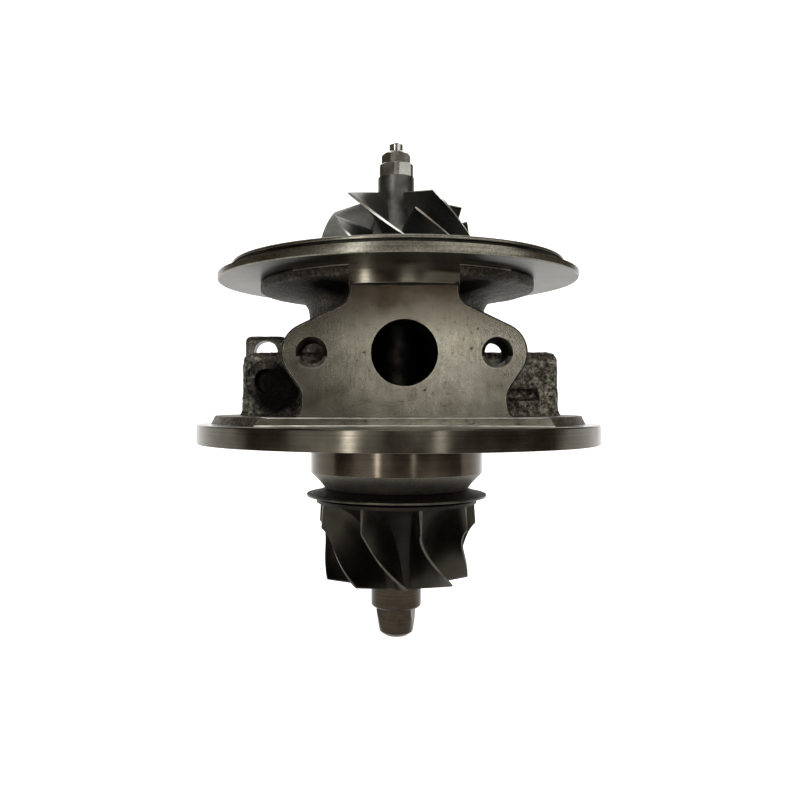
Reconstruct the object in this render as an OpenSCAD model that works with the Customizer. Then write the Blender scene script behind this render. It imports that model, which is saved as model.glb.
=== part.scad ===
// Turbocharger cartridge: cast bearing housing, rotor on two floating bushes, thrust pack and seals.
// Z is the rotor axis, +Z towards the compressor; z = 0 is the turbine-side mounting face.
// The oil drain flange faces -Y. All sizes are in millimetres.

/* [Turbine side of the housing] */
// Outside diameter of the flange that the turbine housing grips
flange_d = 109.8; // [106:0.2:120]
// Thickness of that flange
flange_t = 5.2; // [4.5:0.1:7]
// Width of the flange outside the raised land
land_step = 3.9; // [3:0.1:8]
// Height of the raised land
land_t = 2.3; // [1.5:0.1:3.5]
// Width of the sloping side of the land
land_taper = 1.1; // [0.6:0.1:1.6]
// Diameter of the round boss below the flange
boss_d = 47.6; // [46:0.2:49]
// Length of the boss below the flange face
boss_h = 12.65; // [11.5:0.05:14]
// Length of the tapered end of the boss
boss_taper_h = 4.6; // [3:0.1:6]
// Diameter of the end face of the boss
boss_end_d = 39.4; // [38:0.2:41]
// Width of the turned relief beside the boss
relief_w = 2.6; // [2:0.1:4]
// Depth of the turned relief
relief_h = 0.6; // [0.3:0.1:1]
// Edge break on the turned rims
edge = 0.3; // [0.2:0.05:0.5]

/* [Compressor side of the housing] */
// Height from the turbine-side face to the compressor-side face
housing_h = 48.98; // [47:0.02:54]
// Diameter of the thin lip that the compressor cover clamps
lip_d = 98.6; // [96:0.2:104]
// Thickness of the lip
lip_t = 1.74; // [1.5:0.02:2.5]
// Diameter of the pilot rim that centres the compressor cover
pilot_d = 91; // [88:0.2:94]
// Height of the pilot rim
pilot_h = 3.14; // [2.8:0.02:3.6]
// Width of the groove round the pilot rim
pilot_groove_w = 0.75; // [0.5:0.05:1]
// Depth of the groove round the pilot rim
pilot_groove_h = 0.9; // [0.5:0.05:1.2]
// Distance of that groove from the compressor-side face
pilot_groove_z = 0.85; // [0.7:0.05:1]
// Diameter of the cast pad below the lip
pad_d = 75.2; // [72:0.2:80]
// Thickness of the cast pad at its edge
pad_t = 2.8; // [2:0.1:4]
// Slope of the underside of the pad
pad_slope = 9; // [5:1:12]
// Diameter of the neck between the flange and the pad
neck_d = 48.2; // [47.6:0.2:50]
// Radius of the fillet under the pad
neck_fillet = 5; // [3:0.5:6]

/* [Oil drain flange] */
// Distance of the milled drain face from the rotor axis
drain_y = 36; // [35:0.1:37]
// Height of the drain hole above the turbine-side face
drain_z = 22.8; // [22:0.1:24]
// Diameter of the drain hole
drain_d = 15.9; // [14:0.1:17]
// Distance between the two drain flange bolts
drain_pitch = 43.9; // [43:0.1:46]
// Diameter of the tapped drain flange holes
drain_bolt_d = 5.7; // [5:0.1:6.6]
// Diameter of the countersink at each tapped hole
drain_sink_d = 7.4; // [7.2:0.1:8]
// Radius of the rounded ends of the drain flange
lobe_r = 6.85; // [6.2:0.05:7]
// Thickness of the drain flange at its ends
lobe_t = 10.5; // [9:0.5:12]
// Slope of the upper edges of the drain flange
lobe_slope = 25.8; // [22:0.2:28]
// Lean of the lower edges of the drain flange
lobe_lean = 33.7; // [32:0.1:35]
// Half width of the column that carries the drain flange
column_w = 12.6; // [12:0.1:13.2]
// Radius of the hollow corner above each end
hollow_r = 4.2; // [3.6:0.1:4.6]
// Radius of the hollow waist below each end
waist_r = 4.4; // [4:0.1:4.8]
// Height of the centre of the hollow waist
waist_z = 12.2; // [11.8:0.1:12.6]
// Step by which the milled drain face stands proud of the cut casting
face_step = 0.3; // [0.2:0.05:0.5]
// Clear strip between the milled drain face and the casting above and below it
face_strip = 0.5; // [0.4:0.05:0.7]
// Depth of the turned patch under the lip, from the pilot rim
patch_drop = 9.88; // [9:0.02:11]

/* [Oil feed] */
// Distance of the oil feed face from the rotor axis
feed_y = 32; // [30:0.5:36]
// Height of the oil feed hole above the turbine-side face
feed_z = 19; // [18:0.5:20]
// Diameter of the oil feed boss
feed_boss_d = 18; // [17:0.5:20]
// Diameter of the tapped oil feed hole
feed_d = 9; // [8:0.1:10]
// Depth of the tapped oil feed hole
feed_depth = 12; // [10:0.5:13]
// Diameter of the oil gallery behind it
gallery_d = 4; // [3:0.2:4.6]
// Diameter of the drillings to the bearings
drilling_d = 2.4; // [1.6:0.2:2.6]

/* [Cast side bosses] */
// Distance of the outer side of the left boss from the rotor axis
wing_x = 41.7; // [40:0.1:43]
// How much further out the side of the right boss is
wing_right_more = 1; // [0:0.1:1.5]
// Height of the bosses above the turbine-side face
wing_z = 24.4; // [23:0.1:25]
// Distance of the front of the bosses from the rotor axis
wing_front = 13; // [12:0.5:15]
// Distance of the back of the bosses from the rotor axis
wing_back = 8; // [6:0.5:9]
// Outward lean of the sides of the bosses
wing_draft = 3; // [1:0.5:5]
// Radius of the rounded corners of the bosses
wing_r = 4; // [3:0.25:5]
// Radius of the fillet between a boss and the land
foot_r = 3; // [2:0.25:3.5]
// Height of the groove cast across the right boss
ledge_z = 12.7; // [12:0.1:14]
// Height and depth of that groove
ledge_h = 1.2; // [0.8:0.1:1.6]
// Distance of the tapped hole in the left boss from the rotor axis
tap_x = 35; // [34:0.1:36]
// Height of the tapped hole in the left boss
tap_z = 16.7; // [16:0.1:17.4]
// Diameter of the tapped hole in the left boss
tap_d = 6.6; // [5.6:0.1:7]
// Depth of the tapped hole
tap_depth = 13; // [10:0.5:15]
// Diameter of the sunk seat round the tapped hole
seat_d = 11; // [10:0.1:11.6]
// Depth of the sunk seat
seat_h = 1.5; // [1:0.1:2.5]

/* [Bracket lug] */
// Distance of the lug hole from the rotor axis, to the left
lug_x = 37.8; // [37:0.1:38.4]
// Height of the lug hole
lug_z = 25.85; // [25:0.05:27]
// Diameter of the lug hole
lug_hole_d = 7; // [6:0.1:7.6]
// Half width of the lug
lug_w = 5.9; // [5.4:0.1:6.2]
// Height of the lug above its hole centre
lug_top = 4.75; // [4.6:0.05:5.6]
// Corner radius of the lug
lug_r = 2; // [1:0.25:2.5]
// Distance of the front of the lug from the rotor axis
lug_front = 14; // [13:0.5:15]
// Thickness of the lug
lug_t = 7; // [5:0.5:8]

/* [Bearings] */
// Diameter of the rotor journals
journal_d = 7; // [6.6:0.1:7.4]
// Wall of the floating bushes
bush_wall = 2; // [1.7:0.1:2.2]
// Length of the floating bushes
bush_l = 8; // [7:0.1:8.6]
// Diameter of the oil holes through a bush
bush_hole_d = 1.6; // [1.2:0.1:2]
// Number of oil holes round a bush
bush_holes = 6; // [4:1:8]
// Wall of the bearing tube in the housing
tube_wall = 3.4; // [2.8:0.1:3.8]
// Thickness of the bearing clips
clip_t = 1; // [0.8:0.05:1.2]
// Depth of the clip grooves in the bearing bore
clip_depth = 0.9; // [0.7:0.05:1.1]
// Opening between the ends of a clip
clip_gap = 3; // [2:0.2:4]
// Wall of the casting round the oil space
cavity_wall = 6.6; // [6:0.1:7.2]

/* [Thrust pack and seal plate] */
// Diameter of the shaft stub that the pack is stacked on
stub_d = 5; // [4.6:0.1:5.2]
// Wall of the thrust spacer round the stub
spacer_wall = 2.5; // [2.2:0.1:2.8]
// Diameter of the rotating thrust faces
thrust_ring_d = 17; // [16:0.1:17.4]
// Thickness of the thrust ring
thrust_ring_t = 1.4; // [1.2:0.05:1.6]
// Diameter of the thrust bearing
thrust_d = 32; // [31:0.2:33]
// Thickness of the thrust bearing
thrust_t = 3; // [2.6:0.05:3.4]
// Diameter of the locating pins of the thrust bearing
pin_d = 2; // [1.6:0.1:2.2]
// Length of the locating pins
pin_l = 4.5; // [4:0.1:4.8]
// Thickness of the oil deflector
deflector_t = 0.6; // [0.5:0.05:0.8]
// Diameter of the seal plate
seal_plate_d = 40; // [38.6:0.2:41]
// Thickness of the seal plate
seal_plate_t = 6.3; // [6:0.05:6.8]
// Diameter of the flinger sleeve in the seal plate
flinger_d = 12.6; // [12.2:0.1:13]
// Thickness of the flange of the flinger sleeve
flinger_t = 1.4; // [1.2:0.05:1.6]
// Thickness of the section of the sealing ring round the seal plate
oring_d = 1.8; // [1.6:0.05:2]
// Thickness of the retaining ring
retainer_t = 1.2; // [1:0.05:1.3]
// Depth of the retaining ring groove
retainer_depth = 1.2; // [0.9:0.05:1.4]
// Radial width of the retaining ring
retainer_w = 3.2; // [2.6:0.1:3.6]
// Opening between the ends of the retaining ring
retainer_gap = 9; // [7:0.5:12]

/* [Piston rings] */
// Diameter of the seal collar at the turbine end
collar_d = 16.6; // [16:0.1:17.2]
// Length of the seal collar
collar_l = 5; // [4.6:0.1:5.4]
// Thickness of the piston rings
ring_t = 1.4; // [1.2:0.05:1.6]
// Radial width of the piston rings
ring_w = 1; // [0.8:0.05:1.1]
// Opening between the ends of a piston ring
ring_gap = 0.5; // [0.3:0.1:1]

/* [Heat shield] */
// Outside diameter of the heat shield
shield_d = 49.8; // [48:0.2:52]
// Sheet thickness of the heat shield
shield_t = 0.6; // [0.5:0.05:0.8]
// Drop from the seat of the heat shield to its rim
shield_drop = 1.5; // [1:0.1:2]
// Width of the flat rim of the heat shield
shield_rim_w = 1.2; // [0.8:0.1:2]

/* [Turbine wheel] */
// Diameter of the wheel across the inlet edges of its blades
turbine_d = 44.8; // [43:0.1:46]
// Diameter of the wheel across the outlet edges of its blades
turbine_out_d = 39.6; // [37:0.1:40]
// Height of the inlet edges
turbine_in_h = 6.2; // [5:0.1:7]
// Length of the wheel from its back face to the outlet edges
turbine_l = 21.4; // [20:0.1:23]
// How much lower the outlet edges end at the hub
turbine_root_drop = 3; // [1:0.1:4]
// Number of turbine blades
turbine_blades = 9; // [8:1:10]
// Turn of the blades from inlet to outlet
turbine_wrap = 32; // [28:1:38]
// Exponent of that turn: above 1 the blade bends mostly near its outlet
turbine_bend = 1.65; // [1.2:0.05:2]
// Turn of the wheel about its axis
turbine_phase = -26.6; // [-40:0.2:0]
// Blade thickness at the tip
turbine_tip_t = 0.7; // [0.5:0.05:1]
// Blade thickness at the root
turbine_root_t = 1.7; // [1.3:0.05:2]
// Diameter of the hub
turbine_hub_d = 13.8; // [13:0.1:14.4]
// Length of the hub beyond the blades
turbine_hub_l = 8.9; // [7:0.1:10]
// Width of the hexagon at the nose, across its flats
turbine_hex_w = 9.8; // [9:0.1:10.4]
// Length of the hexagon
turbine_hex_l = 7.95; // [6:0.05:9]
// Turn of the hexagon about the axis
turbine_hex_turn = 12; // [0:1:30]

/* [Compressor wheel] */
// Diameter of the wheel at its outlet
compressor_d = 46.6; // [45:0.1:48]
// Diameter of the wheel across its inlet edges
compressor_in_d = 38; // [36:0.1:39]
// Height of the inlet tips above the compressor-side face
compressor_in_z = 17.2; // [15:0.1:18]
// How much higher the inlet edges start at the hub
compressor_root_rise = 2.5; // [0.5:0.1:3]
// Height of the blades at the outlet
compressor_out_h = 3; // [2.4:0.1:3.4]
// Number of full blades, with a short blade between each two
compressor_blades = 5; // [4:1:6]
// Turn of the blades from inlet to outlet
compressor_wrap = 52; // [46:1:58]
// Exponent of that turn: below 1 the blade bends mostly near its inlet
compressor_bend = 0.92; // [0.85:0.01:1.1]
// Turn of the wheel about its axis
compressor_phase = -45; // [-60:0.5:-20]
// Share of the full blade that is left off a short blade
splitter_start = 0.36; // [0.28:0.01:0.42]
// Blade thickness at the tip
compressor_tip_t = 0.65; // [0.5:0.05:0.9]
// Blade thickness at the root
compressor_root_t = 1.3; // [1:0.05:1.6]
// Diameter of the hub above the blades
compressor_hub_d = 10.05; // [9.6:0.05:10.6]
// Height of the hub shoulder above the compressor-side face
compressor_hub_z = 24.5; // [23.5:0.1:27]
// Width of the hexagon at the nose, across its flats
compressor_hex_w = 9.2; // [8.8:0.1:9.4]
// Length of the hexagon at the nose
compressor_hex_l = 3.7; // [3:0.1:4.5]

/* [Nut and shaft end] */
// Width of the nut across its flats
nut_w = 7; // [6.8:0.1:7.6]
// Height of the nut
nut_h = 3.4; // [3:0.1:4.4]
// Turn of the nut about its axis
nut_turn = 5; // [0:1:30]
// Diameter of the shaft end beyond the nut
tip_d = 3.8; // [3.4:0.1:4.2]
// Length of the shaft end beyond the nut
tip_l = 2.5; // [2:0.05:4]

/* [Clearances] */
// Radial oil clearance between a journal and its bush
journal_clear = 0.02; // [0.01:0.005:0.04]
// Radial oil clearance between a bush and the housing
bush_clear = 0.04; // [0.02:0.005:0.08]
// End play of a bush between its clips
bush_play = 0.35; // [0.3:0.01:0.45]
// End play of the rotor on each side of the thrust bearing
thrust_play = 0.1; // [0.06:0.01:0.15]
// Radial gap between rotating and fixed parts
running_gap = 0.3; // [0.3:0.05:0.5]
// Side gap of a piston ring in its groove
ring_side = 0.1; // [0.06:0.01:0.15]
// Radial fit of the fixed rings and plates in the housing
seat_clear = 0.02; // [0.01:0.005:0.04]
// Radial fit of the pieces stacked on the shaft stub
stub_clear = 0.01; // [0.005:0.005:0.02]

/* [Hidden] */
$fn = 96;
over = 1;
blade_steps = 9;
blade_rows = 3;
blade_sink = -0.1;
blade_inset = 0.25;
hub_steps = 9;

flange_r = flange_d / 2;
land_r = flange_r - land_step;
boss_r = boss_d / 2;
neck_r = neck_d / 2;
lip_r = lip_d / 2;
pilot_r = pilot_d / 2;
pad_r = pad_d / 2;
land_z = flange_t + land_t;
lip_z = housing_h - pilot_h;
pad_z = lip_z - lip_t;
pad_low_z = pad_z - pad_t;

journal_r = journal_d / 2;
bush_bore_r = journal_r + journal_clear;
bush_r = bush_bore_r + bush_wall;
bearing_bore_r = bush_r + bush_clear;
clip_groove_r = bearing_bore_r + clip_depth;
clip_in_r = journal_r + running_gap + 0.5;
tube_r = bearing_bore_r + tube_wall;
cavity_r = neck_r - cavity_wall;
collar_r = collar_d / 2;
seal_bore_r = collar_r + running_gap;
stub_r = stub_d / 2;
spacer_r = stub_r + spacer_wall;
thrust_ring_r = thrust_ring_d / 2;
thrust_r = thrust_d / 2;
thrust_pocket_r = thrust_r + seat_clear;
thrust_window_r = thrust_ring_r + 2.5;
pin_ring_r = (thrust_window_r + thrust_r) / 2;
flinger_r = flinger_d / 2;
seal_plate_r = seal_plate_d / 2;
plate_pocket_r = seal_plate_r + seat_clear;
retainer_groove_r = plate_pocket_r + retainer_depth;
compressor_r = compressor_d / 2;
recess_r = compressor_r + 2 * running_gap;

recess_depth = 2.6;
recess_z = housing_h - recess_depth;
retainer_edge = 0.4;
retainer_z = recess_z - retainer_edge - retainer_t - seat_clear;
seal_plate_z = retainer_z - seal_plate_t;
deflector_z = seal_plate_z - deflector_t;
thrust_z = deflector_z - thrust_t;
thrust_ring_z = thrust_z - thrust_play - thrust_ring_t;
flinger_z = thrust_z + thrust_t + thrust_play;
ring_pocket_z = thrust_ring_z - 0.5;
clip_edge = 0.6;
upper_bush_z = ring_pocket_z - clip_edge - clip_t - bush_play - bush_l;
tube_z = 11.15 - boss_h;
lower_bush_z = tube_z + clip_edge + clip_t + bush_play;
weld_z = 2.1 - boss_h;
collar_z = weld_z + collar_l;
cavity_z = collar_z + 0.6;
shaft_waist_z = tube_z - 1;
seal_ring_z = weld_z + 1.8;
compressor_ring_z = (seal_plate_z + flinger_t + retainer_z) / 2;

shield_z = -boss_h;
turbine_back_z = shield_z - shield_drop - shield_t - 2.2 * running_gap;
turbine_disc_t = 1.1;
turbine_disc_z = turbine_back_z - turbine_disc_t;
turbine_out_z = turbine_back_z - turbine_l;
turbine_nose_z = turbine_out_z - turbine_hub_l;
turbine_end_z = turbine_nose_z - turbine_hex_l;
turbine_disc_r = turbine_d / 2 - 0.2;

compressor_seat_z = recess_z + 2 * running_gap;
compressor_back_z = compressor_seat_z + 0.2;
compressor_disc_z = housing_h + 0.1;
compressor_tip_z = housing_h + compressor_in_z;
compressor_eye_z = compressor_tip_z + compressor_root_rise;
compressor_shoulder_z = housing_h + compressor_hub_z;
nut_z = compressor_shoulder_z + compressor_hex_l;
nut_top_z = nut_z + nut_h;

wing_flare = (wing_z - land_z) * tan(wing_draft);
drain_face_low = land_z + face_strip;
patch_z = housing_h - patch_drop;
drain_face_high = patch_z - face_strip;
lobe_at = [drain_pitch / 2, drain_z];
slope_n = [sin(lobe_slope), cos(lobe_slope)];
lean_n = [cos(lobe_lean), -sin(lobe_lean)];
slope_at = lobe_at + lobe_r * slope_n;
lean_at = lobe_at + lobe_r * lean_n;
hollow_x = column_w + hollow_r;
hollow_at = [hollow_x, slope_at[1] + (hollow_r - (hollow_x - slope_at[0]) * slope_n[0]) / slope_n[1]];
waist_at = [lean_at[0] + (waist_r - (waist_z - lean_at[1]) * lean_n[1]) / lean_n[0], waist_z];

// Points of a quarter arc about a centre, from angle a to angle b
function arc(centre, r, a, b, n = 6) =
    [for (i = [0:n]) centre + r * [cos(a + (b - a) * i / n), sin(a + (b - a) * i / n)]];

// Meridian line of each wheel: s runs from the inlet (0) to the outlet (1), giving [radius, height]
function turbine_hub(s) =
    [turbine_hub_d / 2 + (turbine_disc_r - blade_inset - turbine_hub_d / 2) * (1 - sin(90 * s)),
     turbine_disc_z - (turbine_disc_z - turbine_out_z + turbine_root_drop) * (1 - cos(90 * s))];
function turbine_tip(s) =
    [turbine_out_d / 2 + (turbine_d - turbine_out_d) / 2 * (1 - s) ^ 6,
     turbine_disc_z - turbine_in_h - (turbine_disc_z - turbine_in_h - turbine_out_z + 0.4) * s];
function compressor_hub(s) =
    [compressor_hub_d / 2 + (compressor_r - blade_inset - compressor_hub_d / 2) * (1 - cos(90 * s)),
     compressor_eye_z - (compressor_eye_z - compressor_disc_z) * sin(90 * s)];
function compressor_tip(s) =
    [compressor_in_d / 2 + (compressor_r - blade_inset - compressor_in_d / 2) * s ^ 1.83,
     compressor_tip_z - (compressor_tip_z - compressor_disc_z - compressor_out_h) * s];

// One lofted blade between a hub line and a tip line, thick at the root and thin at the tip
module blade(hub, tip, wrap, root_t, tip_t, start = 0) {
    rows = blade_rows + 1;
    side = rows * (blade_steps + 1);
    points = [for (k = [-1, 1]) for (i = [0:blade_steps]) for (j = [0:blade_rows])
        let (s = start + (1 - start) * i / blade_steps,
             t = blade_sink + (1 - blade_sink) * j / blade_rows,
             p = hub(s) + (tip(s) - hub(s)) * t,
             edge_share = i == 0 || i == blade_steps ? 0.6 : 1,
             half = edge_share * (root_t + (tip_t - root_t) * t) / 2,
             a = wrap(s) - 90 + k * half / p[0] * 180 / PI)
        [p[0] * cos(a), p[0] * sin(a), p[1]]];
    function at(k, i, j) = k * side + i * rows + j;
    quads = concat(
        [for (i = [0:blade_steps - 1]) for (j = [0:blade_rows - 1])
            [at(0, i, j), at(0, i, j + 1), at(0, i + 1, j + 1), at(0, i + 1, j)]],
        [for (i = [0:blade_steps - 1]) for (j = [0:blade_rows - 1])
            [at(1, i, j), at(1, i + 1, j), at(1, i + 1, j + 1), at(1, i, j + 1)]],
        [for (i = [0:blade_steps - 1])
            [at(0, i, blade_rows), at(1, i, blade_rows), at(1, i + 1, blade_rows), at(0, i + 1, blade_rows)]],
        [for (i = [0:blade_steps - 1]) [at(0, i, 0), at(0, i + 1, 0), at(1, i + 1, 0), at(1, i, 0)]],
        [for (j = [0:blade_rows - 1]) [at(0, 0, j), at(1, 0, j), at(1, 0, j + 1), at(0, 0, j + 1)]],
        [for (j = [0:blade_rows - 1])
            [at(0, blade_steps, j), at(0, blade_steps, j + 1),
             at(1, blade_steps, j + 1), at(1, blade_steps, j)]]);
    polyhedron(points, [for (q = quads) each [[q[0], q[1], q[2]], [q[0], q[2], q[3]]]], convexity = 6);
}

// Flat ring about the rotor axis
module ring(r_out, r_in, z, h) {
    rotate_extrude() translate([r_in, z]) square([r_out - r_in, h]);
}

// Ring with an opening on the side away from the drain
module open_ring(r_out, r_in, z, h, gap) {
    difference() {
        ring(r_out, r_in, z, h);
        translate([-gap / 2, 0, z - over]) cube([gap, r_out + over, h + 2 * over]);
    }
}

// Round bar along Y from one depth to another
module bar_y(r, x, y_from, y_to, z) {
    translate([x, y_to, z]) rotate([90, 0, 0]) cylinder(r = r, h = y_to - y_from);
}

// Front outline of the drain flange between two heights
module drain_outline(low, high) {
    difference() {
        union() {
            for (m = [0, 1]) mirror([m, 0]) {
                polygon([[0, low], [waist_at[0], low], waist_at, waist_at - waist_r * lean_n, lean_at,
                         lobe_at, slope_at, hollow_at - hollow_r * slope_n, hollow_at,
                         [hollow_at[0], high], [0, high]]);
                translate(lobe_at) circle(lobe_r);
            }
        }
        for (m = [0, 1]) mirror([m, 0]) {
            translate(hollow_at) circle(hollow_r);
            translate(waist_at) circle(waist_r);
            translate([column_w, hollow_at[1]]) square([hollow_r + over, high + over]);
        }
    }
}

module drain_flange() {
    back = drain_y - lobe_t;
    translate([0, -back, 0]) rotate([90, 0, 0])
        linear_extrude(lobe_t - face_step) drain_outline(land_z - over, patch_z + over);
    translate([0, -back, 0]) rotate([90, 0, 0])
        linear_extrude(lobe_t) drain_outline(drain_face_low, drain_face_high);
    // Web from the drain flange to the neck, and its wide foot
    translate([-column_w, -back - over, land_z - over])
        cube([2 * column_w, back + over - cavity_r, pad_low_z - land_z + 2 * over]);
    translate([-waist_at[0] + waist_r + over, -back - over, land_z - over])
        cube([2 * (waist_at[0] - waist_r - over), back + over - cavity_r, drain_z - lobe_r - land_z]);
    // Turned patch where the column meets the underside of the lip
    intersection() {
        translate([-column_w, -pad_r - over, patch_z])
            cube([2 * column_w, pad_r + over - cavity_r, pad_z - patch_z]);
        cylinder(r = pad_r, h = pad_z);
    }
}

// Front outline of a side boss whose outer side is at x
module wing_front_outline(x) {
    corner = [x - wing_r, wing_z - wing_r];
    polygon([[0, land_z - over], [x + wing_flare, land_z - over], [x + wing_r * tan(wing_draft), corner[1]],
             [corner[0], wing_z], [0, wing_z]]);
    translate(corner) circle(wing_r);
}

// Plan outline of a side boss whose foot ends at x
module wing_plan_outline(x) {
    translate([0, -wing_front]) square([x - wing_r, wing_front + wing_back]);
    translate([0, wing_r - wing_front]) square([x, wing_front + wing_back - 2 * wing_r]);
    for (y = [wing_r - wing_front, wing_back - wing_r]) translate([x - wing_r, y]) circle(wing_r);
}

// Hollow fillet at the foot of a side boss that ends at x
module wing_foot_outline(x) {
    difference() {
        translate([x - over, land_z - over]) square(foot_r + over);
        translate([x + foot_r, land_z + foot_r]) circle(foot_r);
    }
}

// Side boss on the right of the axis, with its outer side at x
module wing(x) {
    intersection() {
        linear_extrude(wing_z + over) wing_plan_outline(x + wing_flare);
        translate([0, wing_back + over, 0]) rotate([90, 0, 0])
            linear_extrude(wing_front + wing_back + 2 * over) wing_front_outline(x);
    }
    translate([0, wing_back - wing_r, 0]) rotate([90, 0, 0])
        linear_extrude(wing_front + wing_back - 2 * wing_r) wing_foot_outline(x + wing_flare);
}

module bracket_lug() {
    high = lug_z + lug_top;
    translate([0, lug_front + lug_t, 0]) rotate([90, 0, 0]) linear_extrude(lug_t) difference() {
        union() {
            translate([-lug_x - lug_w, land_z - over]) square([2 * lug_w, high - lug_r - land_z + over]);
            translate([-lug_x - lug_w + lug_r, land_z]) square([2 * (lug_w - lug_r), high - land_z]);
            for (m = [-1, 1]) translate([-lug_x + m * (lug_w - lug_r), high - lug_r]) circle(lug_r);
            // Rib from the lug to the neck
            translate([lug_w - over - lug_x, land_z - over])
                square([lug_x - lug_w + over - cavity_r, high - lug_r - land_z + over]);
        }
        translate([-lug_x, lug_z]) circle(d = lug_hole_d);
    }
}

// Turned outside of the casting: boss, flange, land, neck, pad, lip and pilot rim
module housing_turned() {
    slope_z = pad_low_z - (pad_r - neck_r - neck_fillet) * tan(pad_slope);
    groove_z = housing_h - pilot_groove_z - pilot_groove_w;
    rotate_extrude() polygon(concat(
        [[0, -boss_h], [boss_end_d / 2, -boss_h],
         [(boss_end_d + boss_d) / 4 - 0.6, -boss_h + boss_taper_h * 0.4],
         [boss_r, boss_taper_h - boss_h], [boss_r, relief_h],
         [boss_r + relief_w, relief_h], [boss_r + relief_w, 0],
         [flange_r, 0], [flange_r, flange_t - edge], [flange_r - edge, flange_t],
         [land_r, flange_t], [land_r - land_taper, land_z], [neck_r, land_z]],
        arc([neck_r + neck_fillet, slope_z - neck_fillet], neck_fillet, 180, 90 + pad_slope),
        [[pad_r, pad_low_z], [pad_r, pad_z], [lip_r - edge, pad_z], [lip_r, pad_z + edge], [lip_r, lip_z],
         [pilot_r, lip_z], [pilot_r, groove_z], [pilot_r - pilot_groove_h, groove_z],
         [pilot_r - pilot_groove_h, groove_z + pilot_groove_w], [pilot_r, groove_z + pilot_groove_w],
         [pilot_r, housing_h - edge], [pilot_r - edge, housing_h], [0, housing_h]]));
}

// Bores, pockets and grooves turned about the rotor axis
module housing_bores() {
    rotate_extrude() polygon([
        [0, -boss_h - over], [seal_bore_r, -boss_h - over], [seal_bore_r, cavity_z], [cavity_r, cavity_z],
        [cavity_r, ring_pocket_z - 1], [thrust_window_r, ring_pocket_z], [thrust_window_r, thrust_z],
        [thrust_pocket_r, thrust_z], [thrust_pocket_r, seal_plate_z], [plate_pocket_r, seal_plate_z],
        [plate_pocket_r, retainer_z - seat_clear], [retainer_groove_r, retainer_z - seat_clear],
        [retainer_groove_r, retainer_z + retainer_t + seat_clear],
        [plate_pocket_r, retainer_z + retainer_t + seat_clear], [plate_pocket_r, recess_z],
        [recess_r, recess_z], [recess_r, housing_h + over], [0, housing_h + over]]);
}

// Bearing tube inside the oil space, held by the web that carries the oil gallery
module bearing_tube() {
    web_w = gallery_d + 5;
    difference() {
        union() {
            ring(tube_r, 0, tube_z, ring_pocket_z - tube_z);
            translate([-web_w / 2, 0, tube_z]) cube([web_w, cavity_r + over, ring_pocket_z - 1 - tube_z]);
        }
        ring(bearing_bore_r, 0, tube_z - over, ring_pocket_z - tube_z + 2 * over);
        for (z = [lower_bush_z, upper_bush_z])
            clip_pair_at(z) ring(clip_groove_r, 0, -seat_clear, clip_t + 2 * seat_clear);
    }
}

// Places its child below and above a bush that starts at height z
module clip_pair_at(z) {
    translate([0, 0, z - bush_play / 2 - clip_t]) children();
    translate([0, 0, z + bush_l + bush_play / 2]) children();
}

// Slanted drilling from the oil gallery to the middle of a bush
module bush_drilling(z) {
    from = [cavity_r, feed_z];
    to = [bearing_bore_r - 0.5, z + bush_l / 2];
    run = to - from;
    translate([0, from[0], from[1]]) rotate([atan2(-run[0], run[1]), 0, 0])
        cylinder(d = drilling_d, h = norm(run));
}

module oil_feed_holes() {
    bar_y(feed_d / 2, 0, feed_y - feed_depth, feed_y + over, feed_z);
    bar_y(gallery_d / 2, 0, cavity_r - 2, feed_y, feed_z);
    bush_drilling(lower_bush_z);
    bush_drilling(upper_bush_z);
}

module drain_holes() {
    bar_y(drain_d / 2, 0, -drain_y - over, -tube_r - 1, drain_z);
    for (m = [-1, 1]) {
        bar_y(drain_bolt_d / 2, m * drain_pitch / 2, -drain_y - over, -drain_y + lobe_t + over, drain_z);
        sink_h = (drain_sink_d - drain_bolt_d) / 2;
        translate([m * drain_pitch / 2, -drain_y + sink_h, drain_z]) rotate([90, 0, 0])
            cylinder(d1 = drain_bolt_d, d2 = drain_sink_d + 2 * over, h = sink_h + over);
    }
}

module tapped_boss_hole() {
    bar_y(seat_d / 2, -tap_x, -wing_front - over, -wing_front + seat_h, tap_z);
    bar_y(tap_d / 2, -tap_x, -wing_front - over, -wing_front + seat_h + tap_depth, tap_z);
}

module bearing_housing() {
    color("#55524a") {
        difference() {
            union() {
                difference() {
                    housing_turned();
                    translate([-flange_r, -flange_r, flange_t])
                        cube([flange_d, flange_r - drain_y + face_step, land_t + over]);
                }
                drain_flange();
                wing(wing_x + wing_right_more);
                mirror([1, 0, 0]) wing(wing_x);
                bracket_lug();
                bar_y(feed_boss_d / 2, 0, cavity_r, feed_y, feed_z);
            }
            housing_bores();
            drain_holes();
            oil_feed_holes();
            tapped_boss_hole();
            for (m = [-1, 1]) thrust_pin_at(m) cylinder(r = pin_d / 2 + seat_clear, h = pin_l);
            translate([neck_r, -wing_front - over, ledge_z]) cube([wing_x, ledge_h + over, ledge_h]);
        }
        difference() {
            bearing_tube();
            oil_feed_holes();
        }
    }
}

// Places its child at the left (-1) or right (1) thrust bearing pin
module thrust_pin_at(m) {
    translate([m * pin_ring_r, 0, thrust_z + thrust_t - pin_l]) children();
}

module heat_shield() {
    low = shield_z - shield_drop;
    shield_r = shield_d / 2;
    seat_r = boss_end_d / 2;
    color("#3b3a37") rotate_extrude() polygon([
        [seal_bore_r + 2 * running_gap, shield_z], [seat_r, shield_z],
        [shield_r - shield_rim_w, low], [shield_r, low],
        [shield_r, low - shield_t], [shield_r - shield_rim_w, low - shield_t], [seat_r, shield_z - shield_t],
        [seal_bore_r + 2 * running_gap, shield_z - shield_t]]);
}

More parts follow.
